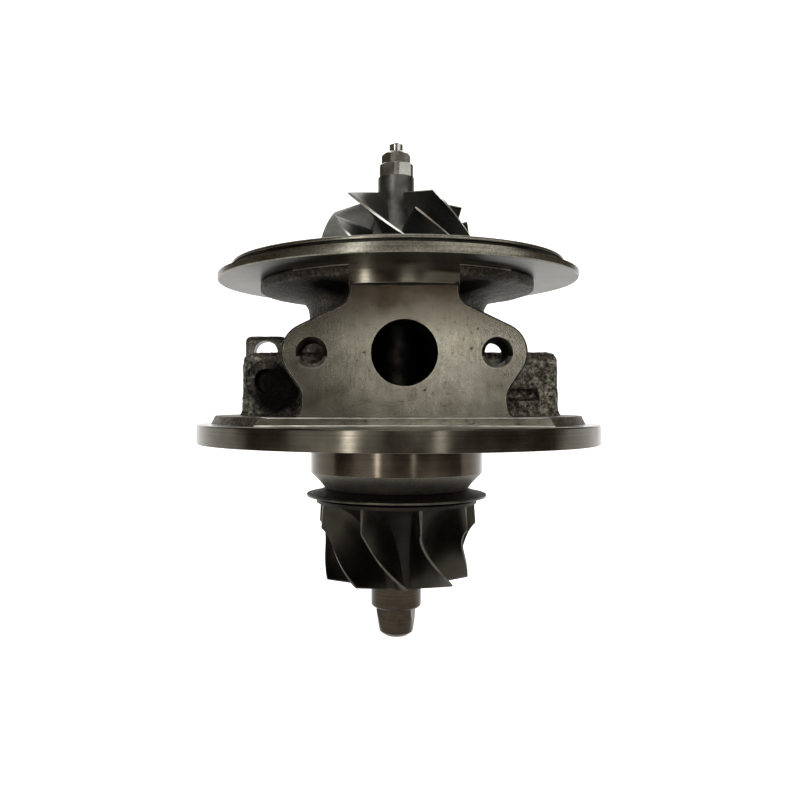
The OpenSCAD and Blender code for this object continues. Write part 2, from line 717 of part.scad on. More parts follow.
module turbine_nose() {
    bevel = 1.6;
    corner = turbine_hex_w / 2 / cos(30);
    end_r = turbine_hex_w / 2 - 0.3;
    intersection() {
        rotate(turbine_hex_turn) translate([0, 0, turbine_end_z])
            cylinder(r = corner, h = turbine_hex_l + over, $fn = 6);
        rotate_extrude() polygon([
            [0, turbine_end_z], [end_r - bevel, turbine_end_z], [end_r, turbine_end_z + bevel * 0.7],
            [corner + edge, turbine_nose_z + over], [0, turbine_nose_z + over]]);
    }
}

module turbine_wheel() {
    round_h = 0.6;
    hub_r = turbine_hub_d / 2;
    wrap = function (s) turbine_wrap * s ^ turbine_bend;
    hub = function (s) turbine_hub(s);
    tip = function (s) turbine_tip(s);
    color("#2f2e2b") union() {
        rotate_extrude() polygon(concat(
            [[0, turbine_nose_z], [hub_r - round_h, turbine_nose_z], [hub_r, turbine_nose_z + round_h]],
            [for (i = [hub_steps:-1:0]) turbine_hub(i / hub_steps)],
            [[turbine_disc_r, turbine_disc_z], [turbine_disc_r, turbine_back_z - 0.2],
             [turbine_disc_r - 0.4, turbine_back_z], [collar_r + 2, turbine_back_z],
             [collar_r, turbine_back_z + 1.2], [collar_r, weld_z], [0, weld_z]]));
        for (i = [0:turbine_blades - 1])
            rotate(turbine_phase + i * 360 / turbine_blades)
                blade(hub, tip, wrap, turbine_root_t, turbine_tip_t);
        turbine_nose();
    }
}

module rotor_shaft() {
    slinger_r = (collar_r + journal_r) / 2;
    waist_r_in = journal_r - 0.3;
    groove_r = collar_r - ring_w - running_gap;
    groove_z = seal_ring_z - ring_side;
    relief_low = lower_bush_z + bush_l + 2;
    relief_high = upper_bush_z - 2;
    color("#8d8b85") rotate_extrude() polygon([
        [0, weld_z], [collar_r, weld_z], [collar_r, groove_z], [groove_r, groove_z],
        [groove_r, groove_z + ring_t + 2 * ring_side], [collar_r, groove_z + ring_t + 2 * ring_side],
        [collar_r, collar_z], [slinger_r, collar_z], [slinger_r, shaft_waist_z - 0.8],
        [journal_r, shaft_waist_z], [journal_r, relief_low], [waist_r_in, relief_low + 0.3],
        [waist_r_in, relief_high - 0.3], [journal_r, relief_high],
        [journal_r, thrust_ring_z], [stub_r, thrust_ring_z],
        [stub_r, nut_top_z - 0.3], [tip_d / 2, nut_top_z], [tip_d / 2, nut_top_z + tip_l - edge],
        [tip_d / 2 - edge, nut_top_z + tip_l], [0, nut_top_z + tip_l]]);
}

module turbine_piston_ring() {
    r = seal_bore_r - seat_clear;
    color("#4a4a4a") open_ring(r, r - ring_w, seal_ring_z, ring_t, ring_gap);
}

// Floating bush with a row of oil holes
module floating_bush(z) {
    color("#b08d57") difference() {
        ring(bush_r, bush_bore_r, z, bush_l);
        for (i = [0:bush_holes - 1])
            rotate(i * 360 / bush_holes + 20) translate([bush_bore_r - over, 0, z + bush_l / 2])
                rotate([0, 90, 0])
                cylinder(d = bush_hole_d, h = bush_wall + 2 * over);
    }
}

module turbine_journal_bearing() {
    floating_bush(lower_bush_z);
}

module compressor_journal_bearing() {
    floating_bush(upper_bush_z);
}

module clip(z) {
    color("#6f6f6f") open_ring(clip_groove_r - seat_clear, clip_in_r, z, clip_t, clip_gap);
}

module turbine_clip_lower() {
    clip(lower_bush_z - bush_play / 2 - clip_t);
}

module turbine_clip_upper() {
    clip(lower_bush_z + bush_l + bush_play / 2);
}

module compressor_clip_lower() {
    clip(upper_bush_z - bush_play / 2 - clip_t);
}

module compressor_clip_upper() {
    clip(upper_bush_z + bush_l + bush_play / 2);
}

module thrust_ring() {
    color("#8d8b85") ring(thrust_ring_r, stub_r + stub_clear, thrust_ring_z, thrust_ring_t);
}

module thrust_spacer() {
    z = thrust_ring_z + thrust_ring_t;
    color("#8d8b85") ring(spacer_r, stub_r + stub_clear, z, flinger_z - z);
}

module thrust_bearing() {
    groove_w = 1.2;
    groove_h = 0.5;
    color("#b08d57") difference() {
        ring(thrust_r, spacer_r + running_gap, thrust_z, thrust_t);
        for (m = [-1, 1]) thrust_pin_at(m) cylinder(r = pin_d / 2 + seat_clear, h = pin_l + over);
        for (a = [45:90:315]) rotate(a) for (z = [thrust_z - over, thrust_z + thrust_t - groove_h])
            translate([0, -groove_w / 2, z]) cube([thrust_ring_r, groove_w, groove_h + over]);
        // Drain window towards the drain flange
        translate([-spacer_r, -thrust_r - over, thrust_z - over])
            cube([2 * spacer_r, thrust_r - thrust_ring_r, thrust_t + 2 * over]);
    }
}

module thrust_pin() {
    color("#6f6f6f") cylinder(d = pin_d, h = pin_l);
}

module thrust_pin_left() {
    thrust_pin_at(-1) thrust_pin();
}

module thrust_pin_right() {
    thrust_pin_at(1) thrust_pin();
}

module oil_deflector() {
    color("#7d7c78") difference() {
        ring(thrust_r, thrust_ring_r + 2 * running_gap, deflector_z, deflector_t);
        translate([-spacer_r, -thrust_r - over, deflector_z - over])
            cube([2 * spacer_r, thrust_r - thrust_ring_r - 2, deflector_t + 2 * over]);
    }
}

module flinger_sleeve() {
    groove_r = flinger_r - ring_w - running_gap;
    groove_z = compressor_ring_z - ring_t / 2 - ring_side;
    in_r = stub_r + stub_clear;
    color("#8d8b85") rotate_extrude() polygon([
        [in_r, flinger_z], [thrust_ring_r, flinger_z], [thrust_ring_r, flinger_z + flinger_t],
        [flinger_r, flinger_z + flinger_t], [flinger_r, groove_z], [groove_r, groove_z],
        [groove_r, groove_z + ring_t + 2 * ring_side], [flinger_r, groove_z + ring_t + 2 * ring_side],
        [flinger_r, compressor_seat_z], [in_r, compressor_seat_z]]);
}

module compressor_piston_ring() {
    r = flinger_r + running_gap - seat_clear;
    color("#4a4a4a") open_ring(r, r - ring_w, compressor_ring_z - ring_t / 2, ring_t, ring_gap);
}

module seal_plate() {
    bore_r = flinger_r + running_gap;
    pocket_r = thrust_ring_r + 2 * running_gap;
    pocket_z = flinger_z + flinger_t + 2 * running_gap;
    groove_z = seal_plate_z + seal_plate_t / 2 - oring_d * 0.6;
    groove_r = seal_plate_r - oring_d;
    color("#77756d") rotate_extrude() polygon([
        [pocket_r, seal_plate_z], [seal_plate_r, seal_plate_z], [seal_plate_r, groove_z],
        [groove_r, groove_z], [groove_r, groove_z + oring_d * 1.2],
        [seal_plate_r, groove_z + oring_d * 1.2], [seal_plate_r, retainer_z],
        [bore_r, retainer_z], [bore_r, pocket_z], [pocket_r, pocket_z]]);
}

module seal_plate_o_ring() {
    color("#1b1b1b") translate([0, 0, seal_plate_z + seal_plate_t / 2])
        rotate_extrude() translate([seal_plate_r - oring_d / 2, 0]) circle(d = oring_d - seat_clear);
}

module retaining_ring() {
    r = retainer_groove_r - seat_clear;
    color("#6f6f6f") open_ring(r, r - retainer_w, retainer_z, retainer_t, retainer_gap);
}

module compressor_nose() {
    r = compressor_hub_d / 2;
    intersection() {
        rotate(-90) translate([0, 0, compressor_shoulder_z - over])
            cylinder(d = compressor_hex_w / cos(30), h = compressor_hex_l + over, $fn = 6);
        cylinder(r = r, h = nut_z);
    }
}

module compressor_wheel() {
    wrap = function (s) compressor_wrap * s ^ compressor_bend;
    hub = function (s) compressor_hub(s);
    tip = function (s) compressor_tip(s);
    pitch = 360 / compressor_blades;
    r = compressor_hub_d / 2;
    color("#6b6a66") difference() {
        union() {
            rotate_extrude() polygon(concat(
                [[0, compressor_seat_z], [flinger_r, compressor_seat_z], [flinger_r + 0.4, compressor_back_z],
                 [compressor_r, compressor_back_z + 0.5], [compressor_r, compressor_disc_z]],
                [for (i = [hub_steps - 1:-1:0]) compressor_hub(i / hub_steps)],
                [[r, compressor_shoulder_z - 0.4], [r - 0.4, compressor_shoulder_z],
                 [0, compressor_shoulder_z]]));
            for (i = [0:compressor_blades - 1]) rotate(compressor_phase + i * pitch) {
                blade(hub, tip, wrap, compressor_root_t, compressor_tip_t);
                rotate(pitch / 2) blade(hub, tip, wrap, compressor_root_t, compressor_tip_t, splitter_start);
            }
            compressor_nose();
        }
        translate([0, 0, compressor_seat_z - over]) cylinder(r = stub_r + stub_clear, h = nut_z);
    }
}

module compressor_nut() {
    corner = nut_w / 2 / cos(30);
    bevel = 0.8;
    color("#b5b4b0") difference() {
        intersection() {
            rotate(nut_turn - 60) translate([0, 0, nut_z]) cylinder(r = corner, h = nut_h, $fn = 6);
            rotate_extrude() polygon([[0, nut_z], [corner, nut_z], [corner, nut_top_z - bevel],
                                      [corner - bevel, nut_top_z], [0, nut_top_z]]);
        }
        translate([0, 0, nut_z - over]) cylinder(r = stub_r + stub_clear, h = nut_h + 2 * over);
    }
}

bearing_housing();
heat_shield();
turbine_wheel();
rotor_shaft();
turbine_piston_ring();
turbine_journal_bearing();
compressor_journal_bearing();
turbine_clip_lower();
turbine_clip_upper();
compressor_clip_lower();
compressor_clip_upper();
thrust_ring();
thrust_spacer();
thrust_bearing();
thrust_pin_left();
thrust_pin_right();
oil_deflector();
flinger_sleeve();
compressor_piston_ring();
seal_plate();
seal_plate_o_ring();
retaining_ring();
compressor_wheel();
compressor_nut();
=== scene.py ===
"""Looks of a turbocharger cartridge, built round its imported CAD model."""

import logging
import math
from collections.abc import Callable, Sequence
from dataclasses import dataclass, field
from enum import Enum

import bpy
from bpy.types import Material, Node, NodeSocket, NodeTree, Object
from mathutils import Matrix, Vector


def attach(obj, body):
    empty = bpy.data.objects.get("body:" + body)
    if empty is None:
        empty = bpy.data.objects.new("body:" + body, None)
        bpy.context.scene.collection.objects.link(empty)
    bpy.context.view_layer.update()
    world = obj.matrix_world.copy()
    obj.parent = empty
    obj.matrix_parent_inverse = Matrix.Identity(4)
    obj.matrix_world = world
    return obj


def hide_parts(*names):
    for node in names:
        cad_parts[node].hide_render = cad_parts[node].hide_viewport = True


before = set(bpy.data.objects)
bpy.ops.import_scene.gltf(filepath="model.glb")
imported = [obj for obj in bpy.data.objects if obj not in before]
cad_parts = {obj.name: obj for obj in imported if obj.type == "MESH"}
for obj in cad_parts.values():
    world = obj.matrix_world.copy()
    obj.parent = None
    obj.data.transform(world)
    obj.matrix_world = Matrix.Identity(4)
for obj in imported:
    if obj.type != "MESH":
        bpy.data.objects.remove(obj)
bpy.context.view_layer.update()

LOG = logging.getLogger("cartridge")
MM = 0.001
IMAGE_PX = 800
SHADER = "Principled BSDF"
MERGE_MM = 0.001

Point2 = tuple[float, float]
Point3 = tuple[float, float, float]
Colour = tuple[float, float, float, float]


class Body(Enum):
    """CAD bodies that the new pieces ride on."""

    HOUSING = "housing"
    ROTOR = "rotor"


class Slot(Enum):
    """Material slots of the record, one named for each new piece."""

    HOUSING = "housing_iron"
    SHIELD = "shield_steel"
    TURBINE = "turbine_alloy"
    WHEEL = "wheel_aluminium"
    NUT = "nut_steel"


# ---------------------------------------------------------------- materials


def linear(code: str) -> Colour:
    """Turns an sRGB hex colour into linear values.

    Args:
        code: Colour such as "#55524a".

    Returns:
        Linear red, green, blue, and an alpha of 1.
    """
    parts = [int(code[i : i + 2], 16) / 255 for i in (1, 3, 5)]
    r, g, b = (c / 12.92 if c <= 0.04045 else ((c + 0.055) / 1.055) ** 2.4 for c in parts)
    return (r, g, b, 1.0)


def per_mm(size_mm: float) -> float:
    """Texture scale, in repeats per metre, of a pattern with this spacing in millimetres."""
    return 1 / (size_mm * MM)


def feed(tree: NodeTree, node: Node, feeds: dict) -> None:
    """Sets or links sockets of a node.

    Args:
        tree: Node tree of a material or world.
        node: Node with the sockets.
        feeds: Socket name or number to a value, an output, or a node whose first output feeds it.
    """
    for key, value in feeds.items():
        source = value.outputs[0] if isinstance(value, Node) else value
        if isinstance(source, NodeSocket):
            tree.links.new(source, node.inputs[key])
        else:
            node.inputs[key].default_value = source


def add(tree: NodeTree, kind: str, feeds: dict | None = None,
        stops: Sequence[tuple[float, str]] = (), **settings: object) -> Node:
    """Adds a node with its settings and links.

    Args:
        tree: Node tree of a material or world.
        kind: Node type without "ShaderNode", such as "TexNoise".
        feeds: Socket name or number to what it is fed with.
        stops: Places and sRGB hex colours of a colour ramp.
        **settings: Properties of the node.

    Returns:
        The new node.
    """
    node = tree.nodes.new("ShaderNode" + kind)
    for key, value in settings.items():
        setattr(node, key, value)
    feed(tree, node, feeds or {})
    if stops:
        elements = node.color_ramp.elements
        while len(elements) < len(stops):
            elements.new(0.5)
        for element, (place, code) in zip(elements, stops):
            element.position, element.color = place, linear(code)
    return node


def new_material(name: str, metallic: float) -> tuple[NodeTree, NodeSocket]:
    """Starts a material.

    Args:
        name: Name of the real material and its surface.
        metallic: Metallic value of its shader.

    Returns:
        Its node tree and its Object coordinates.
    """
    material = bpy.data.materials.new(name)
    material.use_nodes = True
    tree = material.node_tree
    tree.nodes[SHADER].inputs["Metallic"].default_value = metallic
    return tree, add(tree, "TexCoord").outputs["Object"]


def wire(name: str, feeds: dict) -> Material:
    """Feeds the shader of a material.

    Args:
        name: Name of the material.
        feeds: Socket name to what it is fed with.

    Returns:
        The material.
    """
    material = bpy.data.materials[name]
    feed(material.node_tree, material.node_tree.nodes[SHADER], feeds)
    return material


@dataclass(frozen=True)
class SandCastIron:
    """Grey iron as it leaves a sand mould: dark and dull, with a coarse grain and small bright flecks."""

    name: str = "sand_cast_grey_iron"
    dark: str = "#191813"
    mid: str = "#5c584e"
    fleck: str = "#a59f90"
    painted_shade: str = "#0c0b0a"
    sand_mm: float = 0.95
    relief_mm: float = 0.32
    rough: Point2 = (0.34, 0.62)
    shade_spots: tuple[Point3, ...] = ()
    shade_spot_r: Point2 = (4.0, 10.5)
    wave_mm: float = 5.0
    swell_mm: float = 0.5
    metal: float = 0.6
    shine: float = 0.2

    def make(self) -> Material:
        """Builds the material: sand grain over low waves left by the mould, and painted shade round some spots.
        """
        tree, at = new_material(self.name, self.metal)
        waves = add(tree, "TexNoise", {"Vector": at, "Scale": per_mm(self.wave_mm), "Detail": 3.0})
        sand = add(tree, "TexNoise", {"Vector": at, "Scale": per_mm(self.sand_mm), "Detail": 5.0,
                                      "Roughness": 0.7})
        tone = add(tree, "MapRange", {0: waves, 1: 0.3, 2: 0.7, 3: -0.06, 4: 0.06})
        grain = add(tree, "Math", {0: sand, 1: tone}, operation="ADD")
        colour = add(tree, "ValToRGB", {"Fac": grain},
                     stops=[(0.38, self.dark), (0.53, self.mid), (0.7, self.fleck)])
        dull = add(tree, "MapRange", {0: sand, 1: 0.35, 2: 0.65, 3: self.rough[1], 4: self.rough[0]})
        low = add(tree, "Bump", {"Height": waves, "Distance": self.swell_mm * MM, "Strength": 0.6})
        skin = add(tree, "Bump", {"Height": sand, "Distance": self.relief_mm * MM, "Normal": low})
        unshaded = 1.0
        near, far = (r * MM for r in self.shade_spot_r)
        # Painted shade: each listed spot darkens the iron round it
        for spot in self.shade_spots:
            away = add(tree, "VectorMath", {0: at, 1: Vector(spot) * MM}, operation="DISTANCE")
            spot_unshaded = add(tree, "MapRange", {0: away.outputs["Value"], 1: near, 2: far, 3: 0.03, 4: 1.0})
            unshaded = add(tree, "Math", {0: unshaded, 1: spot_unshaded}, operation="MULTIPLY")
        shaded_colour = add(tree, "Mix", {0: unshaded, 6: linear(self.painted_shade), 7: colour}, data_type="RGBA")
        # Painted shade round the spots also takes away the metal and its gloss
        metal, shine = (add(tree, "Math", {0: unshaded, 1: share}, operation="MULTIPLY")
                        for share in (self.metal, self.shine))
        return wire(self.name, {"Base Color": shaded_colour.outputs[2], "Roughness": dull, "Normal": skin,
                                "Metallic": metal, "Specular IOR Level": shine})


@dataclass(frozen=True)
class TurnedMetal:
    """Metal cut on a lathe: satin, with fine rings about the rotor axis and faint oil stains."""

    name: str
    dark: str
    light: str
    rough: float
    ring_mm: float = 0.45
    relief_mm: float = 0.008
    speckle: float = 0.0
    stain_mm: float = 7.0
    grit_mm: float = 0.5

    def make(self) -> Material:
        """Builds the material; its rings are drawn coarser than real ones, so that they show."""
        tree, at = new_material(self.name, 1.0)
        part = add(tree, "SeparateXYZ", {0: at})
        flat = add(tree, "CombineXYZ", {0: part.outputs["X"], 1: part.outputs["Y"]})
        radius = add(tree, "VectorMath", {0: flat}, operation="LENGTH")
        ring_at = add(tree, "CombineXYZ", {0: radius.outputs["Value"], 1: part.outputs["Z"]})
        rings = add(tree, "TexNoise", {"Vector": ring_at, "Scale": per_mm(self.ring_mm),
                                       "Detail": 3.0, "Roughness": 0.7})
        stain = add(tree, "TexNoise", {"Vector": at, "Scale": per_mm(self.stain_mm), "Detail": 5.0,
                                       "Roughness": 0.65})
        both = add(tree, "Mix", {0: 0.5, 2: rings, 3: stain})
        grit = add(tree, "TexNoise", {"Vector": at, "Scale": per_mm(self.grit_mm), "Detail": 2.0})
        tone = add(tree, "Mix", {0: self.speckle, 2: both, 3: grit})
        colour = add(tree, "ValToRGB", {"Fac": tone}, stops=[(0.36, self.dark), (0.62, self.light)])
        gloss = add(tree, "MapRange", {0: stain, 1: 0.3, 2: 0.7, 3: self.rough - 0.02,
                                       4: self.rough + 0.03})
        cut = add(tree, "Bump", {"Height": rings, "Distance": self.relief_mm * MM})
        return wire(self.name, {"Base Color": colour, "Roughness": gloss, "Normal": cut})


@dataclass(frozen=True)
class MilledIron:
    """Grey iron under a face mill: flat, satin, with upright tool marks, open pores, and painted shade that
    darkens and browns it towards the top.
    """

    name: str = "milled_grey_iron"
    dark: str = "#47443b"
    light: str = "#716e63"
    pore: str = "#26241f"
    top_shade: str = "#2e281f"
    top_shade_z: Point2 = (26.0, 39.0)
    rough: Point2 = (0.19, 0.26)
    mark_mm: float = 0.5
    stain_mm: float = 9.0
    grit_mm: float = 0.45
    pore_mm: float = 0.9
    relief_mm: float = 0.006

    def make(self) -> Material:
        """Builds the material; its marks are drawn coarser than real ones, so that they show."""
        tree, at = new_material(self.name, 1.0)
        upright = add(tree, "Mapping", {0: at, 3: (1, 1, 0.05)})
        marks = add(tree, "TexNoise", {"Vector": upright, "Scale": per_mm(self.mark_mm),
                                       "Detail": 3.0, "Roughness": 0.7})
        stain = add(tree, "TexNoise", {"Vector": at, "Scale": per_mm(self.stain_mm), "Detail": 5.0,
                                       "Roughness": 0.65})
        grit = add(tree, "TexNoise", {"Vector": at, "Scale": per_mm(self.grit_mm), "Detail": 2.0})
        fine = add(tree, "Mix", {0: 0.6, 2: marks, 3: grit})
        both = add(tree, "Mix", {0: 0.55, 2: fine, 3: stain})
        metal = add(tree, "ValToRGB", {"Fac": both}, stops=[(0.36, self.dark), (0.62, self.light)])
        pores = add(tree, "TexNoise", {"Vector": at, "Scale": per_mm(self.pore_mm), "Detail": 2.0})
        open_pore = add(tree, "MapRange", {0: pores, 1: 0.63, 2: 0.71})
        # Painted shade of the overhanging pad: darker and browner towards the top, in patches
        place = add(tree, "SeparateXYZ", {0: at})
        low, high = (z * MM for z in self.top_shade_z)
        top_shaded = add(tree, "MapRange", {0: place.outputs["Z"], 1: low, 2: high, 4: 2.0})
        top_shade_share = add(tree, "Math", {0: top_shaded, 1: stain, 2: 0.1}, operation="MULTIPLY_ADD")
        top_shaded_metal = add(tree, "Mix", {0: top_shade_share, 6: metal, 7: linear(self.top_shade)}, data_type="RGBA")
        colour = add(tree, "Mix", {0: open_pore, 6: top_shaded_metal.outputs[2], 7: linear(self.pore)},
                     data_type="RGBA")
        gloss = add(tree, "MapRange", {0: stain, 1: 0.3, 2: 0.7, 3: self.rough[0], 4: self.rough[1]})
        height = add(tree, "Math", {0: marks, 1: open_pore}, operation="SUBTRACT")
        cut = add(tree, "Bump", {"Height": height, "Distance": self.relief_mm * MM})
        return wire(self.name, {"Base Color": colour.outputs[2], "Roughness": gloss, "Normal": cut})


@dataclass(frozen=True)
class SkinnedMetal:
    """Metal or rubber with an even skin: two tones in soft patches, and a fine grain that dulls its gloss."""

    name: str
    dark: str
    light: str
    rough: float
    metallic: float = 1.0
    patch_mm: float = 4.0
    grain_mm: float = 0.8
    relief_mm: float = 0.04

    def make(self) -> Material:
        """Builds the material."""
        tree, at = new_material(self.name, self.metallic)
        patch = add(tree, "TexNoise", {"Vector": at, "Scale": per_mm(self.patch_mm), "Detail": 4.0})
        grain = add(tree, "TexNoise", {"Vector": at, "Scale": per_mm(self.grain_mm), "Detail": 4.0,
                                       "Roughness": 0.65})
        colour = add(tree, "ValToRGB", {"Fac": patch}, stops=[(0.36, self.dark), (0.64, self.light)])
        gloss = add(tree, "MapRange", {0: grain, 1: 0.3, 2: 0.7, 3: self.rough - 0.07,
                                       4: self.rough + 0.09})
        skin = add(tree, "Bump", {"Height": grain, "Distance": self.relief_mm * MM})
        return wire(self.name, {"Base Color": colour, "Roughness": gloss, "Normal": skin})


class Finish(Enum):
    """Finishes of the cartridge."""

    # Side bosses and web: gritty, with painted shade round the tapped hole and behind the left drain bolt
    CAST = SandCastIron(shade_spots=((-32.0, -13.0, 14.5), (-27.5, -6.0, 23.5)), shade_spot_r=(5.5, 10.0))
    # Neck and pad: the same skin brushed smoother and darker, with painted shade in the pockets beside the
    # drain column
    BRUSHED_CAST = SandCastIron(
        "brushed_grey_iron", "#201e1a", "#39362f", "#5f5b51", sand_mm=0.7, relief_mm=0.12, rough=(0.52, 0.72),
        shade_spots=((-17.5, -25.0, 39.0), (17.5, -25.0, 39.0)), shade_spot_r=(4.5, 10.0))
    # Bracket lug and ends of the land: ground by hand, paler and softer, with painted shade behind the left
    # drain bolt
    GROUND_CAST = SandCastIron(
        "ground_grey_iron", "#33312a", "#56534a", "#7b776b", sand_mm=0.7, relief_mm=0.1, rough=(0.4, 0.55),
        shade_spots=((-27.5, -6.0, 23.5),), shade_spot_r=(6.0, 11.0))
    # Flange rims and faces: satin rings that catch upright streaks of light
    TURNED = TurnedMetal("turned_grey_iron", "#3a372f", "#545047", 0.18)
    # Boss: finer cut, darker and closer to a mirror
    FINE_TURNED = TurnedMetal("fine_turned_grey_iron", "#38322a", "#49433a", 0.16, 0.3, 0.003)
    # Compressor side: a worn cut with fine grit, so that it spreads the light into broad bands
    WORN_TURNED = TurnedMetal("worn_turned_grey_iron", "#4d4a41", "#7b786d", 0.3, speckle=0.45)
    # Underside of the lip: a coarse cut that stays dull even at a flat angle
    COARSE_TURNED = TurnedMetal("coarse_turned_grey_iron", "#2e2b26", "#454239", 0.37)
    # Tapered end of the boss: coarse cut, nearly matt
    ROUGH_TURNED = TurnedMetal("rough_turned_grey_iron", "#56524a", "#77736a", 0.5, speckle=0.3)
    # Drain face and front of the land: flat grey with a broad sheen, and painted shade that makes it browner
    # towards the top
    MILLED = MilledIron()
    # Chamfers that a cutter has just broken: bright lines round the milled faces; on the countersinks it is a
    # painted highlight on the faces that look up
    CUT_EDGE = SkinnedMetal("bright_cut_iron_edge_and_highlight", "#a19e95", "#cfccc3", 0.32, grain_mm=0.6, relief_mm=0.01)
    # Bores with burnt oil: dark, with a soft gloss; the same dark iron is painted as shade into the compressor
    # groove and onto the countersink faces that don't look up
    BORE = SkinnedMetal("oiled_bore_and_painted_shade", "#191714", "#322f2a", 0.4, grain_mm=0.6)
    # Turbine blades after heat: nearly black, matt
    TURBINE = SkinnedMetal("investment_cast_nickel_alloy", "#302e29", "#36332c", 0.46, grain_mm=0.5)
    # Ground tips of the turbine blades: thin grey lines on the black wheel
    TURBINE_EDGE = SkinnedMetal(
        "ground_nickel_alloy", "#3f3c36", "#534f47", 0.38, grain_mm=0.5, relief_mm=0.02)
    # Hub of the turbine wheel: painted shade between the blades, darker than the blades
    TURBINE_HUB = SkinnedMetal("nickel_alloy_painted_shade", "#22201c", "#272521", 0.5, grain_mm=0.5)
    # Nose of the turbine wheel: the same alloy, turned and browned by heat
    NOSE = TurnedMetal("turned_nickel_alloy", "#28231c", "#3f382f", 0.3, 0.5, 0.006)
    # Compressor blades: even grey, soft like lead
    WHEEL = SkinnedMetal("cast_aluminium", "#575753", "#63635e", 0.46, grain_mm=0.6)
    # Hub of the compressor wheel: the same alloy, darker
    WHEEL_HUB = SkinnedMetal("darker_cast_aluminium", "#42423e", "#5c5c57", 0.4, grain_mm=0.6)
    # Milled edges of the compressor blades: almost white lines
    WHEEL_EDGE = SkinnedMetal(
        "milled_aluminium_edge", "#dddcd6", "#f1f0ea", 0.34, grain_mm=0.5, relief_mm=0.01)
    # Nut and hexagonal end: smooth flats, each with one tone
    NUT = SkinnedMetal("bright_zinc_steel", "#82817b", "#908f89", 0.26, grain_mm=4.0, relief_mm=0.001)
    # Shaft and the sleeves on it: bright, with fine rings
    SHAFT = TurnedMetal("ground_alloy_steel", "#8f8e88", "#bdbcb5", 0.2, 0.4, 0.01)
    # Heat shield: black scale, dull
    SHIELD = SkinnedMetal("pressed_heat_resistant_sheet", "#181714", "#22201c", 0.55, grain_mm=0.7)
    # Sheared edge of the shield: one dim grey line
    SHIELD_RIM = SkinnedMetal("sheared_sheet_edge", "#302e28", "#434039", 0.36, grain_mm=0.5, relief_mm=0.02)
    # Bushes and thrust bearing: warm brown-yellow rings
    BRONZE = TurnedMetal("turned_leaded_bronze", "#86683a", "#a98a55", 0.28)
    # Clips and rings: blue-grey, with a sharp gloss
    SPRING = SkinnedMetal("blued_spring_steel", "#3d4148", "#5d6168", 0.3)
    # Locating pins: bright and smooth
    PIN = SkinnedMetal("ground_dowel_steel", "#8a8984", "#b4b3ad", 0.22, relief_mm=0.01)
    # Oil deflector: plain grey sheet
    SHEET = SkinnedMetal("pressed_sheet_steel", "#75736c", "#96948c", 0.34)
    # Seal plate: pale turned rings
    PLATE = TurnedMetal("turned_plate_iron", "#615e54", "#8b877b", 0.32)
    # Sealing ring: black and matt
    RUBBER = SkinnedMetal("black_fluoro_rubber", "#141413", "#22211f", 0.6, metallic=0.0, relief_mm=0.02)


class Paint:
    """Materials of the finishes, each made once."""

    def __init__(self) -> None:
        """Makes all materials."""
        self.made = {finish: finish.value.make() for finish in Finish}

    def coat(self, obj: Object, *finishes: Finish,
             pick: Callable[[Vector, Vector], int] | None = None) -> None:
        """Gives an object its materials.

        Args:
            obj: Mesh object.
            *finishes: Finishes of its slots.
            pick: Slot number of a face from its middle, in millimetres, and its normal.
        """
        obj.data.materials.clear()
        for finish in finishes:
            obj.data.materials.append(self.made[finish])
        if pick is not None:
            for face in obj.data.polygons:
                face.material_index = pick(face.center / MM, face.normal)


# ---------------------------------------------------------------- modelling


def take(*objs: Object) -> None:
    """Selects these objects alone, the first of them active."""
    bpy.ops.object.select_all(action="DESELECT")
    for obj in objs:
        obj.select_set(True)
    bpy.context.view_layer.objects.active = objs[0]


def edit(obj: Object) -> None:
    """Enters edit mode on one object with everything selected."""
    take(obj)
    bpy.ops.object.mode_set(mode="EDIT")
    bpy.ops.mesh.select_all(action="SELECT")


def leave() -> None:
    """Goes back to object mode."""
    bpy.ops.object.mode_set(mode="OBJECT")


def made(name: str) -> Object:
    """Names the primitive that was just added and applies its place, turn and size."""
    obj = bpy.context.object
    obj.name = name
    take(obj)
    bpy.ops.object.transform_apply(location=True, rotation=True, scale=True)
    return obj


def modify(obj: Object, kind: str, **settings: object) -> None:
    """Adds a modifier and applies it.

    Args:
        obj: Mesh object.
        kind: Modifier type.
        **settings: Properties of the modifier.
    """
    take(obj)
    modifier = obj.modifiers.new(kind.lower(), kind)
    for key, value in settings.items():
        setattr(modifier, key, value)
    bpy.ops.object.modifier_apply(modifier=modifier.name)


def join(name: str, parts: Sequence[Object]) -> Object:
    """Joins objects into one.

    Args:
        name: Name of the result.
        parts: Objects to join.

    Returns:
        The joined object.
    """
    take(*parts)
    if len(parts) > 1:
        bpy.ops.object.join()
    parts[0].name = name
    return parts[0]


def clean(obj: Object, merge_mm: float = MERGE_MM) -> None:
    """Merges doubles and turns the faces outwards."""
    edit(obj)
    bpy.ops.mesh.remove_doubles(threshold=merge_mm * MM)
    bpy.ops.mesh.normals_make_consistent(inside=False)
    leave()


def shade(obj: Object, degrees: float = 40.0) -> None:
    """Shades an object smooth up to an edge angle, with large faces kept flat."""
    take(obj)
    bpy.ops.object.shade_smooth_by_angle(angle=math.radians(degrees))
    modify(obj, "WEIGHTED_NORMAL", keep_sharp=True)


def soften(obj: Object, width_mm: float, degrees: float) -> None:
    """Bevels the edges that are sharper than an angle."""
    modify(obj, "BEVEL", width=width_mm * MM, segments=2, limit_method="ANGLE",
           angle_limit=math.radians(degrees))


def line(name: str, points: Sequence[Vector]) -> Object:
    """Draws a line by extruding one vertex from point to point.

    Args:
        name: Name of the object.
        points: Points in millimetres.

    Returns:
        The object, in edit mode with nothing but wire in it.
    """
    bpy.ops.mesh.primitive_plane_add(size=MM)
    obj = made(name)
    edit(obj)
    bpy.ops.mesh.merge(type="CENTER")
    bpy.ops.transform.translate(value=points[0] * MM)
    for start, end in zip(points, points[1:]):
        bpy.ops.mesh.extrude_vertices_move(TRANSFORM_OT_translate={"value": (end - start) * MM})
    bpy.ops.mesh.select_all(action="SELECT")
    return obj


